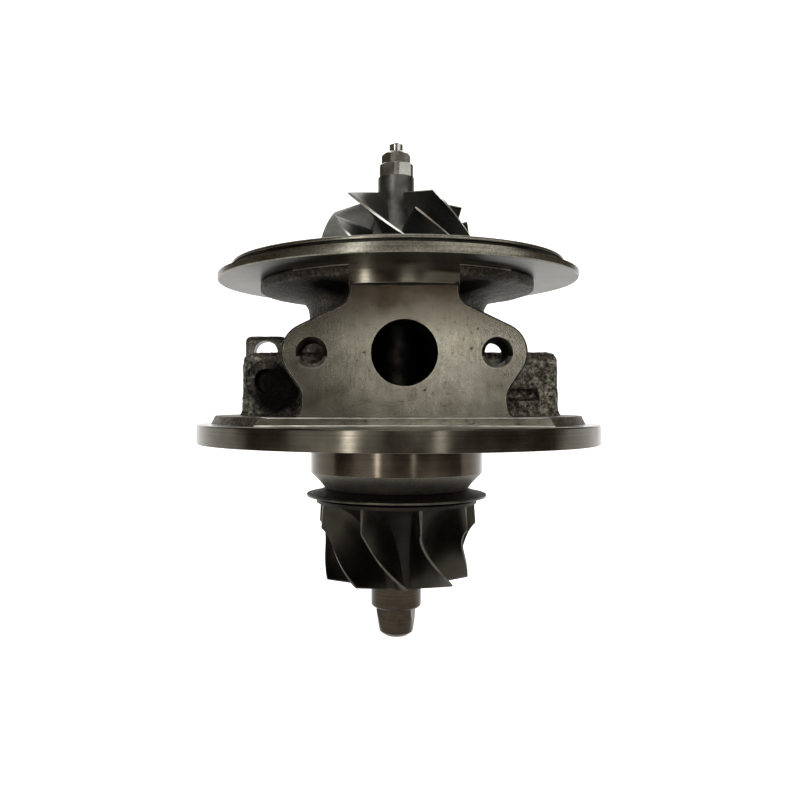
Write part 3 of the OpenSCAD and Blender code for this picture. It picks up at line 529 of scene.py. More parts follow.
def turned(name: str, profile: Sequence[Point2], round_mm: float = 0.1, steps: int = 216,
           sweep: Point2 | None = None) -> Object:
    """Turns a closed profile about the rotor axis.

    Args:
        name: Name of the piece.
        profile: Radius and height of each corner, in millimetres.
        round_mm: Rounding of the corners.
        steps: Faces round the piece.
        sweep: First and last angle, in degrees, where the piece doesn't go all round.

    Returns:
        The turned piece.
    """
    first, last = sweep or (0.0, 360.0)
    at = math.radians(last)
    closed = list(profile) + ([profile[0]] if profile[0][0] > 0 else [])
    obj = line(name, [Vector((r * math.cos(at), r * math.sin(at), z)) for r, z in closed])
    if round_mm:
        bpy.ops.mesh.bevel(offset=round_mm * MM, segments=2, affect="VERTICES")
        bpy.ops.mesh.select_all(action="SELECT")
    if sweep:
        bpy.ops.mesh.remove_doubles(threshold=MERGE_MM * MM)
        bpy.ops.mesh.edge_face_add()
    bpy.ops.mesh.spin(steps=steps, angle=math.radians(last - first), center=(0, 0, 0), axis=(0, 0, 1))
    leave()
    clean(obj)
    return obj


def plate(name: str, outline: Sequence[Point2], y_front: float, y_back: float) -> Object:
    """Extrudes a front outline backwards.

    Args:
        name: Name of the piece.
        outline: Points across and up, in millimetres.
        y_front: Depth of the front face.
        y_back: Depth of the back face.

    Returns:
        The plate.
    """
    obj = line(name, [Vector((x, y_front, z)) for x, z in outline])
    bpy.ops.mesh.edge_face_add()
    bpy.ops.mesh.extrude_region_move(TRANSFORM_OT_translate={"value": (0, (y_back - y_front) * MM, 0)})
    leave()
    clean(obj)
    return obj


def block(name: str, low: Point3, high: Point3, round_mm: float) -> Object:
    """Makes a block with rounded edges.

    Args:
        name: Name of the piece.
        low: Lowest corner, in millimetres.
        high: Highest corner.
        round_mm: Rounding of its edges.

    Returns:
        The block.
    """
    first, last = Vector(low), Vector(high)
    bpy.ops.mesh.primitive_cube_add(size=1, location=(first + last) / 2 * MM, scale=(last - first) * MM)
    obj = made(name)
    edit(obj)
    bpy.ops.mesh.bevel(offset=round_mm * MM, segments=5, affect="EDGES")
    leave()
    return obj


def bar(name: str, radius: float, x: float, z: float, y_from: float, y_to: float,
        end_radius: float | None = None, sides: int = 72) -> Object:
    """Makes a bar or cone along Y.

    Args:
        name: Name of the piece.
        radius: Radius at y_from, in millimetres.
        x: Place across.
        z: Height.
        y_from: Front end.
        y_to: Back end.
        end_radius: Radius at y_to where it differs.
        sides: Faces round the bar.

    Returns:
        The bar.
    """
    bpy.ops.mesh.primitive_cone_add(
        vertices=sides, radius1=radius * MM, radius2=(end_radius or radius) * MM, depth=(y_to - y_from) * MM,
        location=Vector((x, (y_from + y_to) / 2, z)) * MM, rotation=(-math.pi / 2, 0, 0))
    return made(name)


def carve(obj: Object, *cutters: Object, operation: str = "DIFFERENCE") -> None:
    """Cuts an object with others, which are used up.

    Args:
        obj: Mesh object.
        *cutters: Cutters.
        operation: Boolean operation.
    """
    for cutter in cutters:
        modify(obj, "BOOLEAN", object=cutter, operation=operation, solver="EXACT", material_mode="TRANSFER")
        bpy.data.objects.remove(cutter, do_unlink=True)


def seat(obj: Object, body: Body, slot: Slot, *nodes: str) -> None:
    """Hands a finished piece to the frame.

    Args:
        obj: Finished piece.
        body: Body that it rides on.
        slot: Material slot of the record; not used.
        *nodes: CAD nodes that it stands for.
    """
    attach(obj, body.value)
    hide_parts(*nodes)
    LOG.info("%s: %d faces, rides on %s", obj.name, len(obj.data.polygons), body.value)


def arc(centre: Point2, radius: float, start: float, end: float, steps: int = 14) -> list[Point2]:
    """Points of an arc.

    Args:
        centre: Its centre.
        radius: Its radius.
        start: First angle, in degrees.
        end: Last angle.
        steps: Steps between them.

    Returns:
        The points.
    """
    angles = [math.radians(start + (end - start) * i / steps) for i in range(steps + 1)]
    return [(centre[0] + radius * math.cos(a), centre[1] + radius * math.sin(a)) for a in angles]


# ---------------------------------------------------------------- sub-assemblies


@dataclass
class BearingHousing:
    """Iron casting that carries the bearings; sizes in millimetres, heights from the turbine flange face."""

    edge: float = 0.3
    flange_r: float = 54.9
    flange_t: float = 5.2
    land_r: float = 51.0
    land_taper: float = 1.1
    land_z: float = 7.5
    land_front: float = -36.35
    land_round: float = 0.45
    land_fillet: float = 0.5
    boss_r: float = 23.8
    boss_z: float = -12.65
    boss_end_r: float = 19.7
    boss_mid: Point2 = (21.15, -10.81)
    boss_taper_z: float = -8.05
    relief_r: float = 26.4
    relief_z: float = 0.6
    seal_r: float = 8.6
    cavity_r: float = 17.5
    cavity_z: float = -4.95
    neck_r: float = 24.1
    neck_fillet: float = 5.0
    neck_sunk: float = 0.6
    bowl: Point2 = (21.5, 33.5)
    pad_r: float = 37.6
    pad_low_z: float = 41.3
    pad_slope: float = 9.0
    lip_r: float = 49.3
    lip_low_z: float = 44.1
    lip_z: float = 45.84
    lip_root: Point2 = (36.1, 43.8)
    pilot_r: float = 45.5
    groove_z: Point2 = (47.38, 48.13)
    groove_depth: float = 0.9
    top_z: float = 48.98
    recess_r: float = 23.9
    recess_z: float = 46.38
    pocket_r: float = 20.03
    tube: tuple[Point2, ...] = (
        (5.56, -1.5), (8.96, -1.5), (8.96, 31.86), (20.5, 31.86), (20.5, 34.0), (22.5, 36.0), (22.5, 44.1),
        (20.03, 44.1), (20.03, 38.46), (16.03, 38.46), (16.03, 34.86), (13.5, 34.86), (13.5, 32.86),
        (5.56, 32.86))
    face_y: float = -36.0
    face_step: float = 0.3
    face_edge: float = 0.22
    face_margin: float = 0.45
    lobe_t: float = 10.5
    drain_z: float = 22.8
    drain_r: float = 7.95
    drain_y: Point2 = (-40.0, -12.0)
    lobe_x: float = 21.95
    lobe_r: float = 6.85
    bolt_r: float = 2.85
    bolt_y: Point2 = (-40.0, -10.0)
    sink_r: float = 3.7
    lobe_slope: float = 25.8
    lobe_lean: float = 33.7
    column_w: float = 12.6
    hollow_r: float = 4.2
    waist_r: float = 4.4
    waist_z: float = 12.2
    foot_share: float = 0.3
    patch_z: float = 39.1
    patch_x: float = 13.2
    patch_t: float = 6.0
    bead_x: float = 27.0
    bead_h: float = 0.55
    web_y: Point2 = (-27.0, -18.5)
    web_foot: Point2 = (23.0, 15.9)
    web_round: float = 0.5
    wing_in: float = 18.0
    wing_left: float = 41.35
    wing_right: float = 42.35
    wing_y: Point2 = (-13.0, 8.0)
    wing_z: float = 24.4
    wing_sunk: float = 6.0
    wing_flare: float = 0.3
    wing_round: float = 2.6
    ledge_x: Point2 = (20.0, 36.8)
    ledge_z: Point2 = (11.6, 14.5)
    ledge_depth: float = 1.9
    ledge_round: float = 0.9
    foot_in: float = 1.5
    foot_z: Point2 = (5.5, 9.7)
    foot_round: float = 0.4
    foot_spread: float = 2.0
    tap_at: Point2 = (-35.0, 16.7)
    tap_r: float = 3.3
    tap_y: Point2 = (-20.0, 1.5)
    seat_r: float = 5.5
    seat_y: Point2 = (-20.0, -11.5)
    lug_at: Point2 = (-37.8, 25.85)
    lug_w: float = 5.9
    lug_z: float = 30.6
    lug_y: Point2 = (14.0, 21.0)
    lug_round: float = 1.6
    lug_hole_r: float = 3.5
    lug_hole_y: Point2 = (5.0, 30.0)
    rib_x: float = -18.0
    rib_drop: float = 2.0
    rib_round: float = 0.8
    feed_z: float = 19.0
    feed_y: Point2 = (18.0, 32.0)
    feed_boss_r: float = 9.0
    feed_r: float = 4.5
    feed_hole_y: Point2 = (20.0, 40.0)
    sand_mm: float = 0.5
    ground_x: float = -28.0
    brushed_z: float = 29.0
    brushed_share: float = 0.35
    pieces: list[Object] = field(default_factory=list)

    def drain_outline(self, low: float, high: float, more: float = 0.0) -> list[Point2]:
        """Front outline of the drain flange.

        Args:
            low: Its lowest height.
            high: Its highest height.
            more: Margin by which the outline is widened.

        Returns:
            Points across and up, all the way round.
        """
        slope, lean = math.radians(self.lobe_slope), math.radians(self.lobe_lean)
        lobe_r, hollow_r, waist_r = self.lobe_r + more, self.hollow_r - more, self.waist_r - more
        slope_n, lean_n = (math.sin(slope), math.cos(slope)), (math.cos(lean), -math.sin(lean))
        slope_at = (self.lobe_x + lobe_r * slope_n[0], self.drain_z + lobe_r * slope_n[1])
        lean_at = (self.lobe_x + lobe_r * lean_n[0], self.drain_z + lobe_r * lean_n[1])
        hollow_x = self.column_w + self.hollow_r
        hollow = (hollow_x, slope_at[1] + (hollow_r - (hollow_x - slope_at[0]) * slope_n[0]) / slope_n[1])
        waist = (lean_at[0] + (waist_r - (self.waist_z - lean_at[1]) * lean_n[1]) / lean_n[0], self.waist_z)
        drop = min(1.0, (self.waist_z - low) / waist_r)
        right = arc(waist, waist_r, 180 + math.degrees(math.asin(drop)), 180 - self.lobe_lean)
        right += arc((self.lobe_x, self.drain_z), lobe_r, -self.lobe_lean, 90 - self.lobe_slope, 28)
        right += arc(hollow, hollow_r, 270 - self.lobe_slope, 180)
        right.append((self.column_w + more, high))
        if drop == 1.0:
            right.insert(0, (waist[0], low))
        narrow = waist[0] - waist_r
        share = [self.foot_share if z < self.waist_z else 1.0 for x, z in right]
        right = [(narrow + (x - narrow) * part, z) for (x, z), part in zip(right, share)]
        return right + [(-x, z) for x, z in reversed(right)]

    def turbine_flange(self, paint: Paint) -> None:
        """Turns the boss, flange and land, and mills the land flat below the drain face."""
        edge, past = self.edge, 60
        obj = turned("housing_turbine_flange", [
            (self.cavity_r, self.cavity_z), (self.seal_r, self.cavity_z), (self.seal_r, self.boss_z),
            (self.boss_end_r, self.boss_z), self.boss_mid, (self.boss_r, self.boss_taper_z),
            (self.boss_r, self.relief_z), (self.relief_r, self.relief_z), (self.relief_r, 0),
            (self.flange_r, 0), (self.flange_r, self.flange_t - edge), (self.flange_r - edge, self.flange_t),
            (self.land_r, self.flange_t), (self.land_r - self.land_taper, self.land_z),
            (self.cavity_r, self.land_z)])
        carve(obj, block("land_cutter", (-past, -past, self.flange_t), (past, self.land_front, self.land_z + 5),
                         self.land_fillet))
        edit(obj)
        bpy.ops.mesh.select_all(action="DESELECT")
        leave()
        for vertex in obj.data.vertices:
            at = vertex.co / MM
            vertex.select = abs(at.y - self.land_front) < 0.02 and abs(at.z - self.land_z) < 0.02
        bpy.ops.object.mode_set(mode="EDIT")
        bpy.ops.mesh.bevel(offset=self.land_round * MM, segments=4, affect="EDGES")
        leave()
        paint.coat(obj, Finish.TURNED, Finish.FINE_TURNED, Finish.BORE, Finish.ROUGH_TURNED, Finish.MILLED,
                   Finish.CUT_EDGE, Finish.GROUND_CAST, pick=self.flange_slot)
        self.finish(obj)

    def flange_slot(self, at: Vector, normal: Vector) -> int:
        """Slot of a flange face: fine boss, rough taper, dark bores, ground land with a milled front."""
        radius = math.hypot(at.x, at.y)
        if radius < self.cavity_r + 0.1 and abs(normal.z) < 0.9:
            return 2
        if at.z < self.boss_taper_z:
            return 3
        if at.z > self.flange_t and at.y < self.face_y + 1 and radius < self.land_r - self.land_taper:
            return 4 if normal.y < -0.95 else 5
        if at.z > self.flange_t + 0.1 and radius > self.neck_r:
            return 6
        return 1 if radius < self.relief_r and at.z < self.relief_z + 0.1 else 0

    def compressor_disc(self, paint: Paint) -> None:
        """Turns the lip, the grooved pilot rim and the recess for the compressor wheel."""
        edge, (root_r, root_z), (low, high) = self.edge, self.lip_root, self.groove_z
        groove_r = self.pilot_r - self.groove_depth
        obj = turned("housing_compressor_disc", [
            (self.pocket_r, root_z), (root_r, root_z), (root_r, self.lip_low_z),
            (self.lip_r - edge, self.lip_low_z), (self.lip_r, self.lip_low_z + edge), (self.lip_r, self.lip_z),
            (self.pilot_r, self.lip_z), (self.pilot_r, low), (groove_r, low), (groove_r, high),
            (self.pilot_r, high), (self.pilot_r, self.top_z - edge), (self.pilot_r - edge, self.top_z),
            (self.recess_r, self.top_z), (self.recess_r, self.recess_z), (self.pocket_r, self.recess_z)])
        paint.coat(obj, Finish.WORN_TURNED, Finish.BORE, Finish.COARSE_TURNED, pick=self.disc_slot)
        self.finish(obj)

    def disc_slot(self, at: Vector, normal: Vector) -> int:
        """Slot of a face of the compressor disc: worn rim, groove painted dark as shade, coarse underside."""
        if normal.z < -0.9:
            return 2
        # The groove takes the dark bore finish: painted shade in the crease
        inside = self.pad_r < math.hypot(at.x, at.y) < self.pilot_r - 0.1
        return int(inside and self.lip_z < at.z < self.top_z - 0.4)

    def bearing_tube(self, paint: Paint) -> None:
        """Turns the bearing tube and the stepped pockets of the thrust pack."""
        obj = turned("housing_bearing_tube", self.tube, steps=120)
        paint.coat(obj, Finish.BORE)
        self.finish(obj)

    def neck_profile(self) -> list[Point2]:
        """Profile of the cast neck and pad, from the land to the underside of the lip."""
        slope = math.radians(self.pad_slope)
        roof_z = self.pad_low_z - (self.pad_r - self.neck_r - self.neck_fillet) * math.tan(slope)
        fillet = arc((self.neck_r + self.neck_fillet, roof_z - self.neck_fillet), self.neck_fillet,
                     180, 90 + self.pad_slope, 8)
        low, (bowl_r, bowl_z) = self.land_z - self.neck_sunk, self.bowl
        return [(self.cavity_r, low), (self.neck_r, low), *fillet, (self.pad_r, self.pad_low_z),
                (self.pad_r, self.lip_low_z), (bowl_r, self.lip_low_z), (bowl_r, bowl_z),
                (self.cavity_r, bowl_z)]

    def wing(self, side: int) -> Object:
        """Makes a cast side boss with its foot.

        Args:
            side: 1 on the right, -1 on the left.

        Returns:
            The boss.
        """
        (low, high), (foot_low, foot_high) = self.wing_y, self.foot_z
        out = self.wing_right if side > 0 else self.wing_left
        middle = (self.wing_in + out) / 2
        near, far = sorted((side * self.wing_in, side * out))
        # The blocks start a little larger, because smoothing takes some off
        obj = block("wing", (near, low, self.land_z - self.wing_sunk), (far, high, self.wing_z + 0.1),
                    self.wing_round)
        for vertex in obj.data.vertices:
            drop = (self.wing_z - vertex.co.z / MM) / (self.wing_z - self.land_z)
            if vertex.co.x * side > middle * MM:
                vertex.co.x += side * self.wing_flare * max(0.0, drop) * MM
        if side > 0:
            (x0, x1), (z0, z1) = self.ledge_x, self.ledge_z
            carve(obj, block("ledge_cutter", (x0, low - 5, z0), (x1, low + self.ledge_depth, z1),
                             self.ledge_round))
        foot = block("wing_foot", (near, low + self.foot_in, foot_low), (far, high - self.foot_in, foot_high),
                     self.foot_round)
        for vertex in foot.data.vertices:
            if vertex.co.x * side > (out - 1) * MM and vertex.co.z < self.land_z * MM:
                vertex.co.x += side * self.foot_spread * MM
        return join("wing", [obj, foot])

    def casting(self, paint: Paint) -> None:
        """Builds the rough casting: neck, pad, side bosses, lug, feed boss and web, fused and blasted."""
        (lug_x, lug_z), (front, back), z0 = self.lug_at, self.lug_y, self.land_z - 1
        (web_front, web_back), (foot_x, foot_z) = self.web_y, self.web_foot
        parts = [
            turned("neck", self.neck_profile(), 0, 120), self.wing(1), self.wing(-1),
            block("lug", (lug_x - self.lug_w - 0.3, front, z0),
                  (lug_x + self.lug_w + 0.3, back, self.lug_z + 0.2), self.lug_round),
            block("lug_rib", (lug_x + self.lug_w - 1, front, z0),
                  (self.rib_x, back, self.lug_z - self.rib_drop), self.rib_round),
            bar("feed_boss", self.feed_boss_r, 0, self.feed_z, *self.feed_y),
            block("web", (-self.column_w, web_front, z0), (self.column_w, web_back, self.pad_low_z),
                  self.web_round),
            block("web_foot", (-foot_x, web_front, z0), (foot_x, web_back, foot_z), self.web_round),
        ]
        obj = join("housing_casting", parts)
        modify(obj, "REMESH", mode="VOXEL", voxel_size=self.sand_mm * MM, use_smooth_shade=True)
        modify(obj, "SMOOTH", factor=0.5, iterations=6)
        self.blast(obj)
        paint.coat(obj, Finish.CAST, Finish.BRUSHED_CAST, Finish.GROUND_CAST, pick=self.cast_slot)
        cutters = [
            bar("drain_cutter", self.drain_r, 0, self.drain_z, *self.drain_y),
            bar("seat_cutter", self.seat_r, *self.tap_at, *self.seat_y),
            bar("tap_cutter", self.tap_r, *self.tap_at, *self.tap_y),
            bar("lug_cutter", self.lug_hole_r, lug_x, lug_z, *self.lug_hole_y),
            bar("feed_cutter", self.feed_r, 0, self.feed_z, *self.feed_hole_y),
        ]
        for cutter in cutters:
            paint.coat(cutter, Finish.CAST if cutter.name.startswith("seat") else Finish.BORE)
        carve(obj, *cutters)
        take(obj)
        bpy.ops.object.shade_smooth_by_angle(angle=math.radians(50))
        self.pieces.append(obj)

    def cast_slot(self, at: Vector, normal: Vector) -> int:
        """Slot of a face of the casting: gritty below, brushed on the neck and pad, ground on the lug."""
        if at.x < self.ground_x and at.y > self.lug_y[0] - 1.5 and at.z < self.lug_z + 1:
            return 2
        return int(at.z > self.brushed_z or math.hypot(at.x, at.y) < self.neck_r + 1)

    def blast(self, obj: Object) -> None:
        """Roughens the skin of the casting with lumps and sand grain, less on the brushed places."""
        group = obj.vertex_groups.new(name="sand")
        for vertex in obj.data.vertices:
            brushed = self.cast_slot(vertex.co / MM, vertex.normal)
            group.add([vertex.index], self.brushed_share if brushed else 1.0, "REPLACE")
        for name, size_mm, strength_mm in (("mould_lumps", 4.0, 0.55), ("sand_grain", 1.1, 0.4)):
            texture = bpy.data.textures.new(name, "CLOUDS")
            texture.noise_scale = size_mm * MM
            texture.noise_depth = 3
            modify(obj, "DISPLACE", texture=texture, texture_coords="LOCAL", strength=strength_mm * MM,
                   mid_level=0.55, vertex_group="sand")

    def drain_flange(self, paint: Paint) -> None:
        """Makes the drain flange: a cast plate with a milled face, the drain hole and two bolt holes."""
        back = self.face_y + self.lobe_t
        body = plate("drain_body", self.drain_outline(self.land_z + 0.2, self.patch_z + 0.5, self.face_margin),
                     self.face_y + self.face_step, back)
        front = plate("drain_face", self.drain_outline(self.land_z - self.face_margin, self.patch_z - 0.5),
                      self.face_y, back - 2)
        for obj in (body, front):
            cutters = [bar("drain_cutter", self.drain_r, 0, self.drain_z, *self.drain_y, sides=96)]
            sink = self.sink_r - self.bolt_r
            for side in (-1, 1):
                x = side * self.lobe_x
                cutters.append(bar("bolt_cutter", self.bolt_r, x, self.drain_z, *self.bolt_y, sides=48))
                cutters.append(bar("sink_cutter", self.sink_r + 2, x, self.drain_z, self.face_y - 2,
                                   self.face_y + sink, self.bolt_r, 48))
            carve(obj, *cutters)
            soften(obj, self.face_edge, 35)
        obj = join("housing_drain_flange", [body, front])
        paint.coat(obj, Finish.CAST, Finish.MILLED, Finish.BORE, Finish.CUT_EDGE, pick=self.drain_slot)
        self.finish(obj, 30)

    def drain_slot(self, at: Vector, normal: Vector) -> int:
        """Slot of a drain face: milled front, bright edge, dark holes and rim, sinks with a painted highlight
        on the faces that look up and painted shade on the rest.
        """
        bolt = math.hypot(abs(at.x) - self.lobe_x, at.z - self.drain_z)
        drain = math.hypot(at.x, at.z - self.drain_z)
        if bolt < self.sink_r + 0.3 and abs(normal.y) > 0.2:
            # Painted highlight on countersink faces that look up, painted shade on the others
            return 3 if normal.z > 0.15 else 2
        if at.y < self.face_y + self.face_step - 0.05:
            return 1 if normal.y < -0.95 or drain < self.drain_r + 0.5 else 3
        rim = at.y < self.face_y + self.face_step + 0.3
        return 2 if rim or drain < self.drain_r + 0.05 or bolt < self.sink_r + 0.05 else 0

    def patch(self, paint: Paint) -> None:
        """Turns the bright patch and the thin bead where the column and pad meet the underside of the lip."""
        outer, top = self.pad_r + 0.12, self.lip_low_z + 0.2
        inner = outer - self.patch_t
        for name, reach, low in (("housing_lip_patch", self.patch_x, self.patch_z),
                                 ("housing_lip_bead", self.bead_x, self.lip_low_z - self.bead_h)):
            half = math.degrees(math.asin(reach / self.pad_r))
            obj = turned(name, [(inner, low), (outer, low), (outer, top), (inner, top)], 0.25, 48,
                         (-90 - half, -90 + half))
            paint.coat(obj, Finish.TURNED)
            self.finish(obj)

    def finish(self, obj: Object, degrees: float = 40.0) -> None:
        """Shades a piece and keeps it."""
        shade(obj, degrees)
        self.pieces.append(obj)

    def build(self, paint: Paint) -> None:
        """Builds all pieces of the housing."""
        self.turbine_flange(paint)
        self.compressor_disc(paint)
        self.bearing_tube(paint)
        self.casting(paint)
        self.drain_flange(paint)
        self.patch(paint)
        for obj in self.pieces:
            seat(obj, Body.HOUSING, Slot.HOUSING, "bearing_housing")


@dataclass
class BladedWheel:
    """A wheel with lofted blades; sizes in millimetres."""

    name: str
    node: str
    slot: Slot
    skin: Finish
    edge: Finish
    blades: int
    phase: float
    wrap: float
    wrap_power: float
    root_t: float
    tip_t: float
    hub_line: Callable[[float], Point2]
    tip_line: Callable[[float], Point2]
    starts: tuple[float, ...] = (0.0,)
    flow_steps: int = 30
    span_steps: int = 8

    def blade(self, start: float, paint: Paint) -> Object:
        """Lofts one blade from a grid and gives it its thickness, with its rim in the finish of a cut edge.

        Args:
            start: Place along the flow where the blade starts, 0 at the inlet.
            paint: Materials.

        Returns:
            The blade.
        """
        bpy.ops.mesh.primitive_grid_add(
            x_subdivisions=self.flow_steps, y_subdivisions=self.span_steps, size=1)
        obj = made("blade")
        paint.coat(obj, self.skin, self.edge)
        group = obj.vertex_groups.new(name="thickness")
        thickest = self.root_t * 1.8
        for vertex in obj.data.vertices:
            u, t = vertex.co.x + 0.5, -0.06 + 1.06 * (vertex.co.y + 0.5)
            s = start + (1 - start) * u
            (hub_r, hub_z), (tip_r, tip_z) = self.hub_line(s), self.tip_line(s)
            r, z = hub_r + (tip_r - hub_r) * t, hub_z + (tip_z - hub_z) * t
            a = math.radians(self.wrap * s**self.wrap_power - 90)
            vertex.co = Vector((r * math.cos(a), r * math.sin(a), z)) * MM
            thin = min(1.0, 0.55 + 9 * min(u, 1 - u))
            flare = min(1.0, 4 * u) * 0.8 * self.root_t * max(0.0, 1 - max(t, 0) / 0.14) ** 2
            wall = thin * (self.root_t + (self.tip_t - self.root_t) * max(t, 0)) + flare
            group.add([vertex.index], min(1.0, wall / thickest), "REPLACE")
        modify(obj, "SOLIDIFY", thickness=thickest * MM, offset=0, vertex_group="thickness",
               use_even_offset=False, material_offset_rim=1)
        clean(obj, 0.0001)
        return obj

    def body(self, paint: Paint) -> list[Object]:
        """Hub and nose of the wheel, in their finishes; a bare wheel has none."""
        return []

    def build(self, paint: Paint) -> Object:
        """Builds and joins the wheel.

        Args:
            paint: Materials.

        Returns:
            The wheel.
        """
        parts = []
        pitch = 360 / self.blades
        for number, start in enumerate(self.starts):
            first = self.blade(start, paint)
            for i in range(self.blades):
                copy = first.copy()
                copy.data = first.data.copy()
                bpy.context.collection.objects.link(copy)
                copy.rotation_euler.z = math.radians(self.phase + (i + number / len(self.starts)) * pitch)
                take(copy)
                bpy.ops.object.transform_apply(location=False, rotation=True, scale=False)
                parts.append(copy)
            bpy.data.objects.remove(first, do_unlink=True)
        obj = join(self.name, parts + self.body(paint))
        shade(obj, 35)
        seat(obj, Body.ROTOR, self.slot, self.node)
        return obj


def hexagon(name: str, across: float, turn: float, low: float, high: float) -> Object:
    """Makes a hexagonal bar about the rotor axis.

    Args:
        name: Name of the piece.
        across: Size across its flats, in millimetres.
        turn: Turn of a flat from the drain side towards the right, in degrees.
        low: Lower end.
        high: Upper end.

    Returns:
        The bar.
    """
    bpy.ops.mesh.primitive_cylinder_add(
        vertices=6, radius=across / 2 / math.cos(math.pi / 6) * MM, depth=(high - low) * MM,
        location=(0, 0, (low + high) / 2 * MM), rotation=(0, 0, math.radians(turn - 30)))
    return made(name)


@dataclass
class TurbineWheel(BladedWheel):
    """Turbine wheel with its turned, hexagonal nose."""

    back_z: float = -15.41
    disc_z: float = -16.51
    disc_r: float = 22.2
    nose_z: float = -45.71
    end_z: float = -53.66
    hub_r: float = 6.9
    hex_w: float = 9.8
    hex_turn: float = 12.0
    nose_t: float = 6.2
    collar_r: float = 8.3
    collar_z: float = -10.55

    def body(self, paint: Paint) -> list[Object]:
        """Hub, disc and nose of the wheel.

        Args:
            paint: Materials.

        Returns:
            The pieces, in their finishes.
        """
        steps, top, root_z, half = 24, self.nose_z + self.nose_t, self.nose_z + 1, self.hex_w / 2
        hub = turned("turbine_hub", [
            (0, top), (self.hub_r, top), *[self.hub_line(1 - i / steps) for i in range(1, steps)],
            (self.disc_r, self.disc_z), (self.disc_r, self.back_z - 0.2), (self.disc_r - 0.4, self.back_z),
            (self.collar_r, self.back_z + 1.2), (self.collar_r, self.collar_z), (0, self.collar_z)], 0.05, 144)
        # The hub between the blades is painted darker, as shade
        paint.coat(hub, Finish.TURBINE_HUB)
        nose = turned("turbine_nose", [
            (0, self.nose_z), (self.hub_r - 0.6, self.nose_z), (self.hub_r, self.nose_z + 0.6),
            (self.hub_r + 0.02, top + 0.1), (0, top + 0.1)], 0.2, 96)
        flats = hexagon("turbine_hex", self.hex_w, self.hex_turn, self.end_z, root_z)
        corner = half / math.cos(math.pi / 6)
        carve(flats, turned("turbine_hex_shape", [
            (0, self.end_z), (half - 1.9, self.end_z), (half - 0.3, self.end_z + 1.12), (corner + 0.3, root_z),
            (0, root_z)], 0.25, 96), operation="INTERSECT")
        soften(flats, 0.15, 25)
        for piece in (nose, flats):
            paint.coat(piece, Finish.NOSE)
        return [hub, nose, flats]


@dataclass
class CompressorWheel(BladedWheel):
    """Compressor wheel with long and short blades and a hexagonal end."""

    seat_z: float = 46.98
    rim_r: float = 23.3
    disc_z: float = 49.08
    hub_r: float = 5.025
    shoulder_z: float = 73.48
    hex_z: float = 77.18
    hex_w: float = 9.2
    hex_turn: float = 30.0
    bore_r: float = 2.53

    def body(self, paint: Paint) -> list[Object]:
        """Hub, disc and hexagonal end of the wheel.

        Args:
            paint: Materials.

        Returns:
            The pieces, in their finishes.
        """
        steps, round_r = 24, self.hub_r - 0.06
        hub = turned("compressor_hub", [
            (self.bore_r, self.seat_z), (6.3, self.seat_z), (6.7, self.seat_z + 0.2),
            (self.rim_r, self.seat_z + 0.7), (self.rim_r, self.disc_z),
            *[self.hub_line(1 - i / steps) for i in range(1, steps + 1)],
            (self.hub_r, self.shoulder_z), (self.bore_r, self.shoulder_z)], 0.05, 144)
        paint.coat(hub, Finish.WHEEL_HUB, self.edge,
                   pick=lambda at, n: int(math.hypot(at.x, at.y) > self.rim_r - 0.1))
        flats = hexagon("compressor_hex", self.hex_w, self.hex_turn, self.shoulder_z - 0.5, self.hex_z)
        carve(flats, turned("compressor_hex_shape", [
            (0, self.shoulder_z - 1), (round_r, self.shoulder_z - 1), (round_r, self.hex_z - 0.4),
            (self.hub_r - 0.5, self.hex_z), (0, self.hex_z)], 0, 144), operation="INTERSECT")
        soften(flats, 0.3, 40)
        carve(flats, turned("compressor_bore", [(0, 70), (self.bore_r, 70), (self.bore_r, 80), (0, 80)], 0, 64))
        paint.coat(flats, Finish.NUT)
        return [hub, flats]


@dataclass
class HeatShield:
    """Pressed shield behind the turbine wheel; sizes in millimetres."""

    bore_r: float = 9.2
    seat_r: float = 19.7
    rim_r: float = 24.9
    rim_w: float = 1.2
    z: float = -12.65
    drop: float = 1.5
    sheet: float = 0.6

    def build(self, paint: Paint) -> None:
        """Turns the dished sheet and its sheared rim."""
        low = self.z - self.drop
        obj = turned("heat_shield_dish", [
            (self.bore_r, self.z), (self.seat_r, self.z), (self.rim_r - self.rim_w, low), (self.rim_r, low),
            (self.rim_r, low - self.sheet), (self.rim_r - self.rim_w, low - self.sheet),
            (self.seat_r, self.z - self.sheet), (self.bore_r, self.z - self.sheet)], 0.12)
        paint.coat(obj, Finish.SHIELD, Finish.SHIELD_RIM,
                   pick=lambda at, n: int(math.hypot(at.x, at.y) > self.rim_r - 0.3))
        shade(obj)
        seat(obj, Body.HOUSING, Slot.SHIELD, "heat_shield")


@dataclass
class ShaftNut:
    """Nut that clamps the compressor wheel; sizes in millimetres."""

    across: float = 7.0
    bore_r: float = 2.5
    low: float = 77.18
    high: float = 80.58
    turn: float = 5.0

    def build(self, paint: Paint) -> None:
        """Makes the hexagon with turned corners."""
        obj = hexagon("shaft_nut", self.across, self.turn, self.low, self.high)
        half = self.across / 2
        corner = half / math.cos(math.pi / 6)
        carve(obj, turned("nut_shape", [
            (self.bore_r, self.low), (half - 0.1, self.low), (corner, self.low + 0.45),
            (corner, self.high - 0.9), (half - 0.45, self.high), (self.bore_r, self.high)], 0, 96),
              operation="INTERSECT")
        soften(obj, 0.12, 22)
        paint.coat(obj, Finish.NUT)
        shade(obj, 25)
        seat(obj, Body.ROTOR, Slot.NUT, "compressor_nut")


